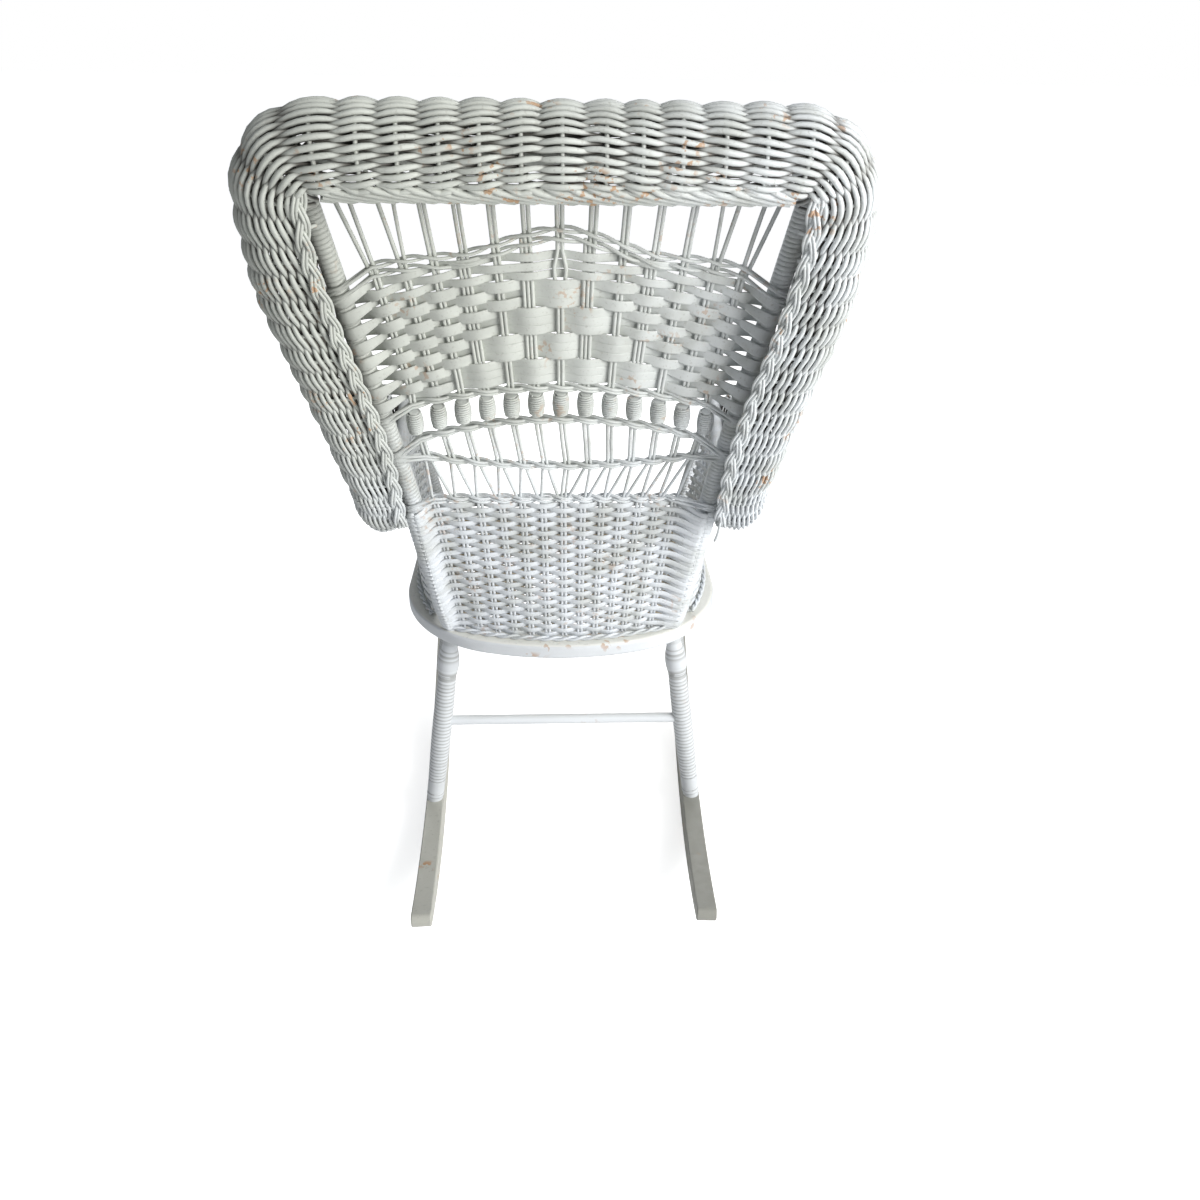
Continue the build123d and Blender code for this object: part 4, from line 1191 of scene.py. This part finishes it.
class WICKER_OT_splint_panel(bpy.types.Operator):
    """Weave the flat splints of the back over their stakes"""

    bl_idname = "wicker.splint_panel"
    bl_label = "Splint panel"

    def height(self, s, share):
        """Height of the row at a share from the arch down to the beads."""
        return mix(arc_height(SPLINT_TOP, s), arc_height(UPPER_BEAD, s) + 6.5 * MM, share)

    def execute(self, context):
        finish = finish_named("painted_splint")
        splints = Ribbons("splint_weave")
        for row in range(SPLINT_ROWS):
            self.splint(splints, row)
        finish_piece(splints, finish, ["splint_panel"])
        stakes = Reeds("splint_stakes", sizes().stake * 0.92)
        for number in PAIRS:
            extra = (-1, 1, 3) if abs(number) in (1, 3) else (-1, 1)
            for twin in extra:
                self.stake(stakes, number, twin)
        finish_piece(stakes, finish_named("painted_openwork_reed"))
        return {"FINISHED"}

    def stake(self, stakes, number, twin):
        rod = sizes().stake / 2 * 0.92
        points = []
        for share in steps(10):
            s = spoke_s(number, self.height(spoke_s(number, 0.2), share))
            t = mix(arch_height(s), arc_height(UPPER_BEAD, s), share)
            part = 0.0
            if number == 0:
                part = twin * 4.0 * MM * ease((share - 0.08) / 0.12) * (1 - ease((share - 0.25) / 0.15))
            points.append(back_point(s + twin * rod + part, t))
        stakes.add(points)

    def splint(self, splints, row):
        size = sizes()
        share = (row + 0.5) / SPLINT_ROWS
        over = size.stake / 2 + size.splint_thick * 0.7
        knots = []
        for number in PAIRS:
            s = spoke_s(number, self.height(spoke_s(number, 0.2), share))
            knots.append((s, over if splint_over(row, number) else -over))
        for sign in (-1, 1):
            last = knots[-1] if sign > 0 else knots[0]
            end_t = self.height(sign * post_s(0.2), share)
            end = sign * (post_s(end_t) - 1 * MM)
            reach = POST_RADIUS + 3 * MM
            deep = reach if last[1] < 0 else -reach
            knots = knots + [(end, deep)] if sign > 0 else [(end, deep)] + knots
        points, widths = [], []
        band = (row - NARROW_ROWS) // ROWS_PER_BAND if row >= NARROW_ROWS else -1
        for (s0, r0), (s1, r1) in zip(knots, knots[1:]):
            for part in steps(8)[:-1]:
                s = mix(s0, s1, part)
                points.append(back_point(s, self.height(s, share), mix(r0, r1, ease(part))))
                middle = abs(s) < (band + 1.4) * SPOKE_PITCH_LOW
                beside = max(0.0, abs(s) - knots[-2][0]) / (knots[-1][0] - knots[-2][0])
                wide = NARROW_SHARE if row < NARROW_ROWS and not beside else MIDDLE_SHARE if middle else 1.0
                if beside:
                    under = knots[-2 if s > 0 else 1][1] < 0
                    wide = mix(PINCHED_SHARE if under else 1.0, POST_SHARE, ease(beside))
                widths.append(size.splint_width * wide)
        s, r = knots[-1]
        points.append(back_point(s, self.height(s, share), r))
        widths.append(widths[-1])
        points, widths = self.wrapped(points, widths, knots)
        splints.add(points, [REAR] * len(points), widths, size.splint_thick, 0.35)

    def wrapped(self, points, widths, knots):
        """Carries a splint that is seen from the rear on round the outside of each post."""
        for end in (0, -1):
            if knots[end][1] > 0:
                sign = -1 if end == 0 else 1
                tail = points[end]
                around = [tail + SIDE * sign * 8 * MM - REAR * 3 * MM,
                          tail + SIDE * sign * 12 * MM - REAR * 11 * MM]
                points = list(reversed(around)) + points if end == 0 else points + around
                widths = [widths[0] * 0.8] * 2 + widths if end == 0 else widths + [widths[-1] * 0.8] * 2
        return points, widths


# Woven panels between posts

PANEL_STAKE_SHARE = 0.9
PANEL_TWIN_GAP = 2.3 * MM
PANEL_POST_GAP = 3.2 * MM
# Openness of the lower panel's stakes, which gives them a little painted shade
PANEL_STAKE_OPENNESS = 0.7
SIDE_ROWS = 29
SIDE_STAKES = 12
BORDER_REED = 4.0 * MM
BORDER_TWIST = 2.0 * MM


class Panel:
    """A woven panel: its surface, its stake columns and its rows."""

    def __init__(self, name, surface, columns, rows, post_reach=None):
        self.name = name
        self.surface = surface
        self.columns = columns
        self.last = len(columns(0.0)) - 1
        self.rows = rows
        self.post_reach = post_reach

    def weave(self, width, thick, rod, twin_gap, stake_size):
        reeds = Ribbons(self.name + "_weave")
        over = rod * 0.8 + thick / 2
        places = [(index, part) for index in range(self.last) for part in steps(6)[:-1]]
        places.append((self.last - 1, 1.0))
        for row in range(self.rows):
            share = (row + 0.5) / self.rows
            columns = self.columns(share)
            points, normals = [], []
            for index, part in places:
                u = mix(columns[index], columns[index + 1], part)
                deep = mix(self.reach(row, index, over), self.reach(row, index + 1, over), ease(part))
                fall = mix(self.fall(row, index), self.fall(row, index + 1), ease(part))
                uneven = wobble(row * 1.9, u * 9, 0.6 * MM)
                point, normal = self.surface(u, share)
                points.append(point + normal * deep + Vector((0, 0, uneven - fall)))
                normals.append(normal)
            reeds.add(points, normals, width, thick, 0.45)
        stakes = Reeds(self.name + "_stakes", stake_size)
        for index in range(1, self.last):
            for twin in (-1, 1):
                line = []
                for share in steps(6):
                    u = self.columns(share)[index]
                    point, normal = self.surface(u, share)
                    beside, _ = self.surface(u + 0.01, share)
                    line.append(point + (beside - point).normalized() * twin * twin_gap)
                stakes.add(line)
        return reeds, stakes

    def at_end(self, index):
        return self.post_reach is not None and index in (0, self.last)

    def reach(self, row, index, over):
        """How far behind the panel a row passes a column; beside the posts it clears them."""
        return self.post_reach if self.at_end(index) else self.sign(row, index) * over

    def fall(self, row, index):
        """How far a row sinks towards the posts."""
        return min(10.0 * MM, row * 1.6 * MM) if self.at_end(index) else 0.0

    def sign(self, row, index):
        return 1.0 if (row + index) % 2 == 0 else -1.0


def lower_surface(u, share):
    """Lower panel: u from the right post to the left one, share from the seat up to the knee."""
    z = mix(SEAT_TOP + 5 * MM, KNEE_Z - 5 * MM, share)
    post = post_at(z)
    bow = mix(PANEL_BASE_BOW, PANEL_TOP_BOW, share)
    point = Vector((post.x * u, post.y + bow * (1 - u * u), z))
    slope = 2 * bow * u / post.x
    normal = Vector((slope, 1.0, -0.21)).normalized()
    return point, normal


def lower_columns(share):
    """Places of the lower panel's stakes and posts at a height, closer together at the seat."""
    z = mix(SEAT_TOP, KNEE_Z, share)
    t = (z - KNEE_Z) / math.cos(TILT)
    return [-1.0, *[spoke_s(number, t) / post_at(z).x for number in PAIRS], 1.0]


def side_surface(u, share):
    """Left side panel: u from the post to the arm's front, share from the seat up to the arm."""
    low = three_point(SIDE_BASE, u)
    high = three_point(SIDE_TOP, u)
    z = mix(SEAT_TOP + 3 * MM, ARM_POLE_Z - 13 * MM, share)
    point = low.lerp(high, share)
    point.z = z
    ahead = three_point(SIDE_TOP, min(1.0, u + 0.02)) - three_point(SIDE_TOP, max(0.0, u - 0.02))
    return point, Vector((-ahead.y, ahead.x, 0)).normalized()


def mirrored_surface(surface):
    flip = Vector((-1, 1, 1))

    def made(u, share):
        point, normal = surface(u, share)
        return point * flip, normal * flip

    return made


class WICKER_OT_woven_panels(bpy.types.Operator):
    """Weave the lower panel of the back and the two side panels, with the border at the seat"""

    bl_idname = "wicker.woven_panels"
    bl_label = "Woven panels"

    def execute(self, context):
        size = sizes()
        finish = finish_named("painted_panel_reed")
        width, thick = size.panel_reed_width, size.panel_reed_thick
        rod = size.stake / 2 * PANEL_STAKE_SHARE
        panel = Panel("lower_panel", lower_surface, lower_columns, size.panel_rows,
                      POST_RADIUS + PANEL_POST_GAP)
        reeds, stakes = panel.weave(width, thick, rod, PANEL_TWIN_GAP, rod * 2)
        self.post_loops(reeds, panel, width * 0.86, thick)
        finish_piece(reeds, finish, ["lower_panel"], self.panel_depth)
        finish_piece(stakes, finish, (), lambda point: PANEL_STAKE_OPENNESS)
        side_columns = [0.0, *[(number + 0.5) / SIDE_STAKES for number in range(SIDE_STAKES)], 1.0]
        for side in ("left", "right"):
            surface = side_surface if side == "left" else mirrored_surface(side_surface)
            panel = Panel("side_panel_" + side, surface, lambda share: side_columns, SIDE_ROWS)
            reeds, stakes = panel.weave(width, thick, rod, PANEL_TWIN_GAP, rod * 2)
            finish_piece(reeds, finish, ["side_panel_" + side])
            finish_piece(stakes, finish)
        self.border(finish)
        return {"FINISHED"}

    def panel_depth(self, point):
        """How open a point of the lower panel is: both faces are, what lies between is in shade."""
        share = (point.z - SEAT_TOP) / (KNEE_Z - SEAT_TOP)
        post = post_at(point.z)
        if abs(point.x) > post.x - POST_RADIUS:
            return 1.0
        surface, normal = lower_surface(point.x / post.x, share)
        behind = (point - surface).dot(normal)
        outer = max(ease((behind + 2.5 * MM) / (3.5 * MM)), ease((-3.0 * MM - behind) / (1.0 * MM)))
        return 0.15 + 0.85 * outer

    def post_loops(self, reeds, panel, width, thick):
        """Carries each row round the rear and outside of the posts."""
        last = panel.last
        for row in range(panel.rows):
            share = (row + 0.5) / panel.rows
            for index, sign in ((0, -1), (last, 1)):
                turns = [math.radians(mix(90, -60, part)) for part in steps(8)]
                point, _ = panel.surface(sign, share)
                outs = [Vector((sign * math.cos(turn), math.sin(turn), 0)) for turn in turns]
                falls = [panel.fall(row, index) * mix(1.0, 1.35, part) for part in steps(8)]
                line = [point + out * panel.post_reach - Vector((0, 0, fall))
                        for out, fall in zip(outs, falls)]
                reeds.add(line, outs, width, thick, 0.45)

    def border(self, finish):
        """Twisted border that lies on the seat along the panels' feet."""
        reeds = Reeds("base_border_reeds", BORDER_REED)
        lift = SEAT_TOP + 4.2 * MM
        lines = [[lower_surface(u * 2 - 1, 0.0)[0] + Vector((0, 7.5 * MM, 0)) for u in steps(80)]]
        for sign in (-1, 1):
            away = Vector((8.0 * MM, 0, 0))
            lines.append([(side_surface(u, 0.0)[0] + away) * Vector((sign, 1, 1)) for u in steps(80)])
        for line in lines:
            for half in (0, 1):
                points = []
                for index, point in enumerate(line):
                    ahead = line[min(index + 1, len(line) - 1)] - line[max(index - 1, 0)]
                    across = Vector((ahead.y, -ahead.x, 0)).normalized()
                    turn = math.pi * (index / 5 + half)
                    level = Vector((point.x, point.y, lift))
                    round_line = across * math.cos(turn) + Vector((0, 0, math.sin(turn)))
                    points.append(level + round_line * BORDER_TWIST)
                reeds.add(points)
        finish_piece(reeds, finish, ["base_border"])


# Binding on the poles

BINDING_WIDTH = 5.1 * MM
BINDING_THICK = 1.6 * MM


def pole_frames(points):
    """Places along a polyline with their distance and two directions square to it."""
    made = []
    along = 0.0
    side = None
    for index, point in enumerate(points):
        ahead = (points[min(index + 1, len(points) - 1)] - points[max(index - 1, 0)]).normalized()
        if side is None:
            side = ahead.orthogonal().normalized()
        side = (side - ahead * side.dot(ahead)).normalized()
        if index:
            along += (point - points[index - 1]).length
        made.append((along, point, side, ahead.cross(side)))
    return made


def bind(ribbons, points, radius, pitch, width, thick):
    """Winds a flat cane round a pole in one long helix."""
    frames = pole_frames(points)
    distances = [entry[0] for entry in frames]
    total = distances[-1]
    per_turn = 12
    count = int(total / pitch * per_turn)
    line, outs = [], []
    for index in range(count + 1):
        place = total * index / count
        low = min(max(bisect.bisect_right(distances, place) - 1, 0), len(frames) - 2)
        share = (place - distances[low]) / max(1e-9, distances[low + 1] - distances[low])
        centre = frames[low][1].lerp(frames[low + 1][1], share)
        side = frames[low][2].lerp(frames[low + 1][2], share)
        other = frames[low][3].lerp(frames[low + 1][3], share)
        turn = 2 * math.pi * index / per_turn
        out = (side * math.cos(turn) + other * math.sin(turn)).normalized()
        line.append(centre + out * (radius + thick / 2))
        outs.append(out)
    ribbons.add(line, outs, width, thick, 0.5)


def rounded_path(corners, bends, count=10):
    """Polyline with each inner corner rounded by a smooth bend of a given length."""
    points = [corners[0]]
    for before, here, after, reach in zip(corners, corners[1:], corners[2:], bends):
        start = here + (before - here).normalized() * reach
        end = here + (after - here).normalized() * reach
        for share in steps(count):
            points.append(start.lerp(here, share).lerp(here.lerp(end, share), share))
    return points + [corners[-1]]


class WICKER_OT_pole_binding(bpy.types.Operator):
    """Bind the back posts and arm poles with cane"""

    bl_idname = "wicker.pole_binding"
    bl_label = "Pole binding"

    def execute(self, context):
        size = sizes()
        finish = finish_named("painted_binding")
        dress([*both("back_post"), "top_hoop_rail", *both("arm_pole")], "painted_binding")
        knee = Vector((POST_KNEE_X, KNEE_Y, KNEE_Z))
        foot = post_at(SEAT_TOP + 1 * MM)
        head = back_point(post_s(POST_TOP_T), POST_TOP_T)
        post = rounded_path([foot, knee, head], [POST_BEND])
        arm_points = [Vector((x * MM, y * MM, ARM_POLE_Z)) for x, y in ARM_POLE_POINTS]
        arm_points[-1].z = SEAT_TOP + 2 * MM
        start = back_point(POST_KNEE_X, (ARM_POLE_Z - KNEE_Z) / math.cos(TILT))
        start += (arm_points[0] - start).normalized() * 14 * MM
        arm = rounded_path([start, *arm_points], [ARM_POLE_BEND] * 2)
        flip = Vector((-1, 1, 1))
        for side in ("left", "right"):
            turn = (lambda point: point) if side == "left" else (lambda point: point * flip)
            for name, line, radius in (("post", post, POST_RADIUS), ("arm", arm, ARM_POLE_RADIUS)):
                ribbons = Ribbons(name + "_binding_" + side, 6)
                bind(ribbons, [turn(point) for point in line], radius, size.binding_pitch,
                     BINDING_WIDTH, BINDING_THICK)
                finish_piece(ribbons, finish, [name + "_wrap_" + side])
        return {"FINISHED"}


# Seat and wood

CANE_THICK = 0.7 * MM
SHORTEST_CANE = 8.0 * MM


class WICKER_OT_cane_seat(bpy.types.Operator):
    """Weave the cane of the seat and give its spline the cane's finish"""

    bl_idname = "wicker.cane_seat"
    bl_label = "Cane seat"

    def execute(self, context):
        size = sizes()
        finish = finish_named("seat_cane")
        strands = Ribbons("seat_cane_weave", 6)
        outline = self.outline()
        gap = size.cane_gap
        level = SEAT_TOP - 1.4 * MM
        for angle, lift, width, spacing in ((0, 0.2, 2.6, gap), (0, 0.4, 2.6, gap), (90, -0.2, 2.6, gap),
                                            (90, 0.0, 2.6, gap), (45, 0.7, 3.0, gap * 0.7071),
                                            (-45, 0.9, 3.0, gap * 0.7071)):
            shift = 1.7 * MM if lift in (0.4, 0.0) else -1.7 * MM
            shift = shift if angle in (0, 90) else spacing / 2
            self.set_of_strands(strands, outline, angle, spacing, shift, level + lift * MM, width * MM)
        finish_piece(strands, finish, ["seat_cane_panel"])
        dress(["cane_spline"], "seat_cane")
        return {"FINISHED"}

    def outline(self):
        """Corner-rounded outline of the cane, from the solid panel's own box."""
        low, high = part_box("seat_cane_panel")
        middle = (low + high) / 2
        half = (high - low) / 2 - Vector((1, 1, 0)) * MM
        points = []
        for degrees in range(0, 360, 3):
            turn = math.radians(degrees)
            power = 0.42 if math.sin(turn) < 0 else 0.72
            x = math.copysign(abs(math.cos(turn)) ** power, math.cos(turn)) * half.x
            y = math.copysign(abs(math.sin(turn)) ** power, math.sin(turn)) * half.y
            points.append(Vector((middle.x + x, middle.y + y)))
        return points

    def set_of_strands(self, strands, outline, degrees, spacing, shift, level, width):
        turn = math.radians(degrees)
        along = Vector((math.cos(turn), math.sin(turn)))
        across = Vector((-along.y, along.x))
        places = [point.dot(across) for point in outline]
        next_points, next_places = outline[1:] + outline[:1], places[1:] + places[:1]
        number = math.ceil((min(places) - shift) / spacing)
        while number * spacing + shift < max(places):
            offset = number * spacing + shift
            cuts = []
            for here, there, low, high in zip(outline, next_points, places, next_places):
                if (low - offset) * (high - offset) < 0:
                    cut = here.lerp(there, (offset - low) / (high - low))
                    cuts.append(cut.dot(along))
            if len(cuts) == 2 and abs(cuts[1] - cuts[0]) > SHORTEST_CANE:
                ends = [along * value + across * offset for value in sorted(cuts)]
                points = [Vector((end.x, end.y, level)) for end in ends]
                strands.add(points, [Vector((0, 0, 1))] * 2, width, CANE_THICK, 0.6)
            number += 1


class WICKER_OT_wood(bpy.types.Operator):
    """Paint the seat rim, legs, stretchers and rockers"""

    bl_idname = "wicker.wood"
    bl_label = "Painted wood"

    def execute(self, context):
        legs = [*both("rear_leg"), *both("front_leg")]
        bars = ["rear_stretcher", "front_stretcher", *both("side_stretcher")]
        dress(legs, "painted_turning")
        dress(bars, "painted_bar_lit")
        dress(["seat_frame"], "painted_rim")
        dress(both("rocker"), "worn_rocker")
        for name in legs:
            self.shade_rings(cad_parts[name].data)
        return {"FINISHED"}

    def shade_rings(self, mesh):
        """Marks the valleys between a leg's turned rings, so that painted shade and dirt show in them."""
        ends = []
        heights = sorted(vert.co.z for vert in mesh.vertices)
        for limit, keep in ((heights[0] + 3 * MM, min), (heights[-1] - 3 * MM, max)):
            chosen = [vert.co for vert in mesh.vertices if keep(vert.co.z, limit) == vert.co.z]
            ends.append(sum(chosen, Vector()) / len(chosen))
        axis = (ends[1] - ends[0]).normalized()
        crest = {}
        places = []
        for vert in mesh.vertices:
            away = vert.co - ends[0]
            along = away.dot(axis)
            radius = (away - axis * along).length
            places.append((int(along / (9 * MM)), radius))
            crest[places[-1][0]] = max(radius, crest.get(places[-1][0], 0.0))
        values = []
        for place, radius in places:
            groove = crest[place] - radius
            values.append(max(0.0, 1 - groove / (0.9 * MM)) if groove < 1.3 * MM else 1.0)
        mesh.attributes["shade_openness"].data.foreach_set("value", values)


# Stage

CAMERA_PLACE = Vector((0.0020, 1.2769, 1.0988))
CAMERA_PITCH = math.radians(30.4)
CAMERA_YAW = math.radians(2.7)
CAMERA_ROLL = math.radians(0.9)
CAMERA_LENS = 28.92
LAMP_TARGET = Vector((0, 0.05, 0.6))
SUN_SPREAD = math.radians(40)
FLOOR_HALF = 30.0
# Light that only the camera sees on the floor, which makes the background white
FLOOR_SEEN_LIGHT = 0.58
ROOM_LIGHT = 0.27


class WICKER_OT_stage(bpy.types.Operator):
    """Set the floor, the soft light and the camera"""

    bl_idname = "wicker.stage"
    bl_label = "Stage"

    def execute(self, context):
        self.floor()
        self.world()
        self.sun(aim=(0.80, -0.48, -0.42), strength=1.8)
        self.lamp("key_light", place=(-1.15, 1.3, 1.15), size=0.9, power=22.5, colour=(1.0, 0.99, 0.97))
        self.lamp("front_light", place=(-0.2, -2.4, 2.0), size=2.4, power=44.0, colour=(1.0, 1.0, 1.0))
        self.camera()
        context.scene.view_settings.view_transform = "Standard"
        return {"FINISHED"}

    def floor(self):
        bm = bmesh.new()
        bmesh.ops.create_grid(bm, x_segments=1, y_segments=1, size=FLOOR_HALF)
        mesh = bpy.data.meshes.new("floor")
        bm.to_mesh(mesh)
        bm.free()
        plate = bpy.data.objects.new("floor", mesh)
        bpy.context.scene.collection.objects.link(plate)
        material = bpy.data.materials.new("pale_floor")
        material.use_nodes = True
        shader = material.node_tree.nodes["Principled BSDF"]
        shader.inputs["Base Color"].default_value = (*colours().floor, 1.0)
        shader.inputs["Roughness"].default_value = 0.9
        shader.inputs["Emission Color"].default_value = (1.0, 1.0, 1.0, 1.0)
        nodes, links = material.node_tree.nodes, material.node_tree.links
        path = nodes.new("ShaderNodeLightPath")
        seen = nodes.new("ShaderNodeMath")
        seen.operation = "MULTIPLY"
        seen.inputs[1].default_value = FLOOR_SEEN_LIGHT
        links.new(path.outputs["Is Camera Ray"], seen.inputs[0])
        links.new(seen.outputs["Value"], shader.inputs["Emission Strength"])
        mesh.materials.append(material)

    def world(self):
        scene = bpy.context.scene
        scene.world = scene.world or bpy.data.worlds.new("soft_room")
        scene.world.use_nodes = True
        nodes, links = scene.world.node_tree.nodes, scene.world.node_tree.links
        room = nodes["Background"]
        room.inputs["Color"].default_value = (0.90, 0.94, 1.0, 1.0)
        room.inputs["Strength"].default_value = ROOM_LIGHT
        seen = nodes.new("ShaderNodeBackground")
        seen.inputs["Color"].default_value = (1.0, 1.0, 1.0, 1.0)
        path = nodes.new("ShaderNodeLightPath")
        chosen = nodes.new("ShaderNodeMixShader")
        links.new(path.outputs["Is Camera Ray"], chosen.inputs["Fac"])
        links.new(room.outputs["Background"], chosen.inputs[1])
        links.new(seen.outputs["Background"], chosen.inputs[2])
        links.new(chosen.outputs["Shader"], nodes["World Output"].inputs["Surface"])

    def sun(self, aim, strength):
        light = bpy.data.lights.new("sky_light", "SUN")
        light.energy = strength
        light.angle = SUN_SPREAD
        lamp = bpy.data.objects.new("sky_light", light)
        lamp.rotation_euler = Vector(aim).to_track_quat("-Z", "Y").to_euler()
        bpy.context.scene.collection.objects.link(lamp)

    def lamp(self, name, place, size, power, colour):
        light = bpy.data.lights.new(name, "AREA")
        light.size = size
        light.energy = power
        light.color = colour
        lamp = bpy.data.objects.new(name, light)
        lamp.location = place
        aim = LAMP_TARGET - Vector(place)
        lamp.rotation_euler = aim.to_track_quat("-Z", "Y").to_euler()
        bpy.context.scene.collection.objects.link(lamp)

    def camera(self):
        level = math.cos(CAMERA_PITCH)
        ahead = Vector((-math.sin(CAMERA_YAW) * level, -math.cos(CAMERA_YAW) * level,
                        -math.sin(CAMERA_PITCH)))
        right = Vector((-math.cos(CAMERA_YAW), math.sin(CAMERA_YAW), 0))
        above = right.cross(ahead)
        tipped = right * math.cos(CAMERA_ROLL) + above * math.sin(CAMERA_ROLL)
        above = above * math.cos(CAMERA_ROLL) - right * math.sin(CAMERA_ROLL)
        data = bpy.data.cameras.new("photo_camera")
        data.sensor_width = 36.0
        data.lens = CAMERA_LENS
        data.clip_start = 0.01
        camera = bpy.data.objects.new("photo_camera", data)
        turn = Matrix((tipped, above, -ahead)).transposed()
        camera.matrix_world = Matrix.Translation(CAMERA_PLACE) @ turn.to_4x4()
        bpy.context.scene.collection.objects.link(camera)
        bpy.context.scene.camera = camera


class WICKER_PT_chair(bpy.types.Panel):
    """Lists the chair's pieces, sizes and colours"""

    bl_idname = "WICKER_PT_chair"
    bl_label = "Wicker rocking chair"
    bl_space_type = "VIEW_3D"
    bl_region_type = "UI"
    bl_category = "Wicker"

    def draw(self, context):
        for operator in OPERATORS:
            self.layout.operator(operator.bl_idname)
        for group in (context.scene.wicker_sizes, context.scene.wicker_colours):
            box = self.layout.box()
            for name in group.__annotations__:
                box.prop(group, name)


OPERATORS = (
    WICKER_OT_wood,
    WICKER_OT_cane_seat,
    WICKER_OT_pole_binding,
    WICKER_OT_rolled_edge,
    WICKER_OT_edgings,
    WICKER_OT_openwork,
    WICKER_OT_barrel_beads,
    WICKER_OT_splint_panel,
    WICKER_OT_woven_panels,
    WICKER_OT_stage,
)
CLASSES = (ReedSizes, PaintColours, *OPERATORS, WICKER_PT_chair)


def register():
    for item in CLASSES:
        bpy.utils.register_class(item)
    bpy.types.Scene.wicker_sizes = bpy.props.PointerProperty(type=ReedSizes)
    bpy.types.Scene.wicker_colours = bpy.props.PointerProperty(type=PaintColours)


def unregister():
    del bpy.types.Scene.wicker_colours
    del bpy.types.Scene.wicker_sizes
    for item in reversed(CLASSES):
        bpy.utils.unregister_class(item)


def main():
    register()
    bpy.ops.wicker.wood()
    bpy.ops.wicker.cane_seat()
    bpy.ops.wicker.pole_binding()
    bpy.ops.wicker.rolled_edge()
    bpy.ops.wicker.edgings()
    bpy.ops.wicker.openwork()
    bpy.ops.wicker.barrel_beads()
    bpy.ops.wicker.splint_panel()
    bpy.ops.wicker.woven_panels()
    bpy.ops.wicker.stage()


if __name__ == "__main__":
    main()
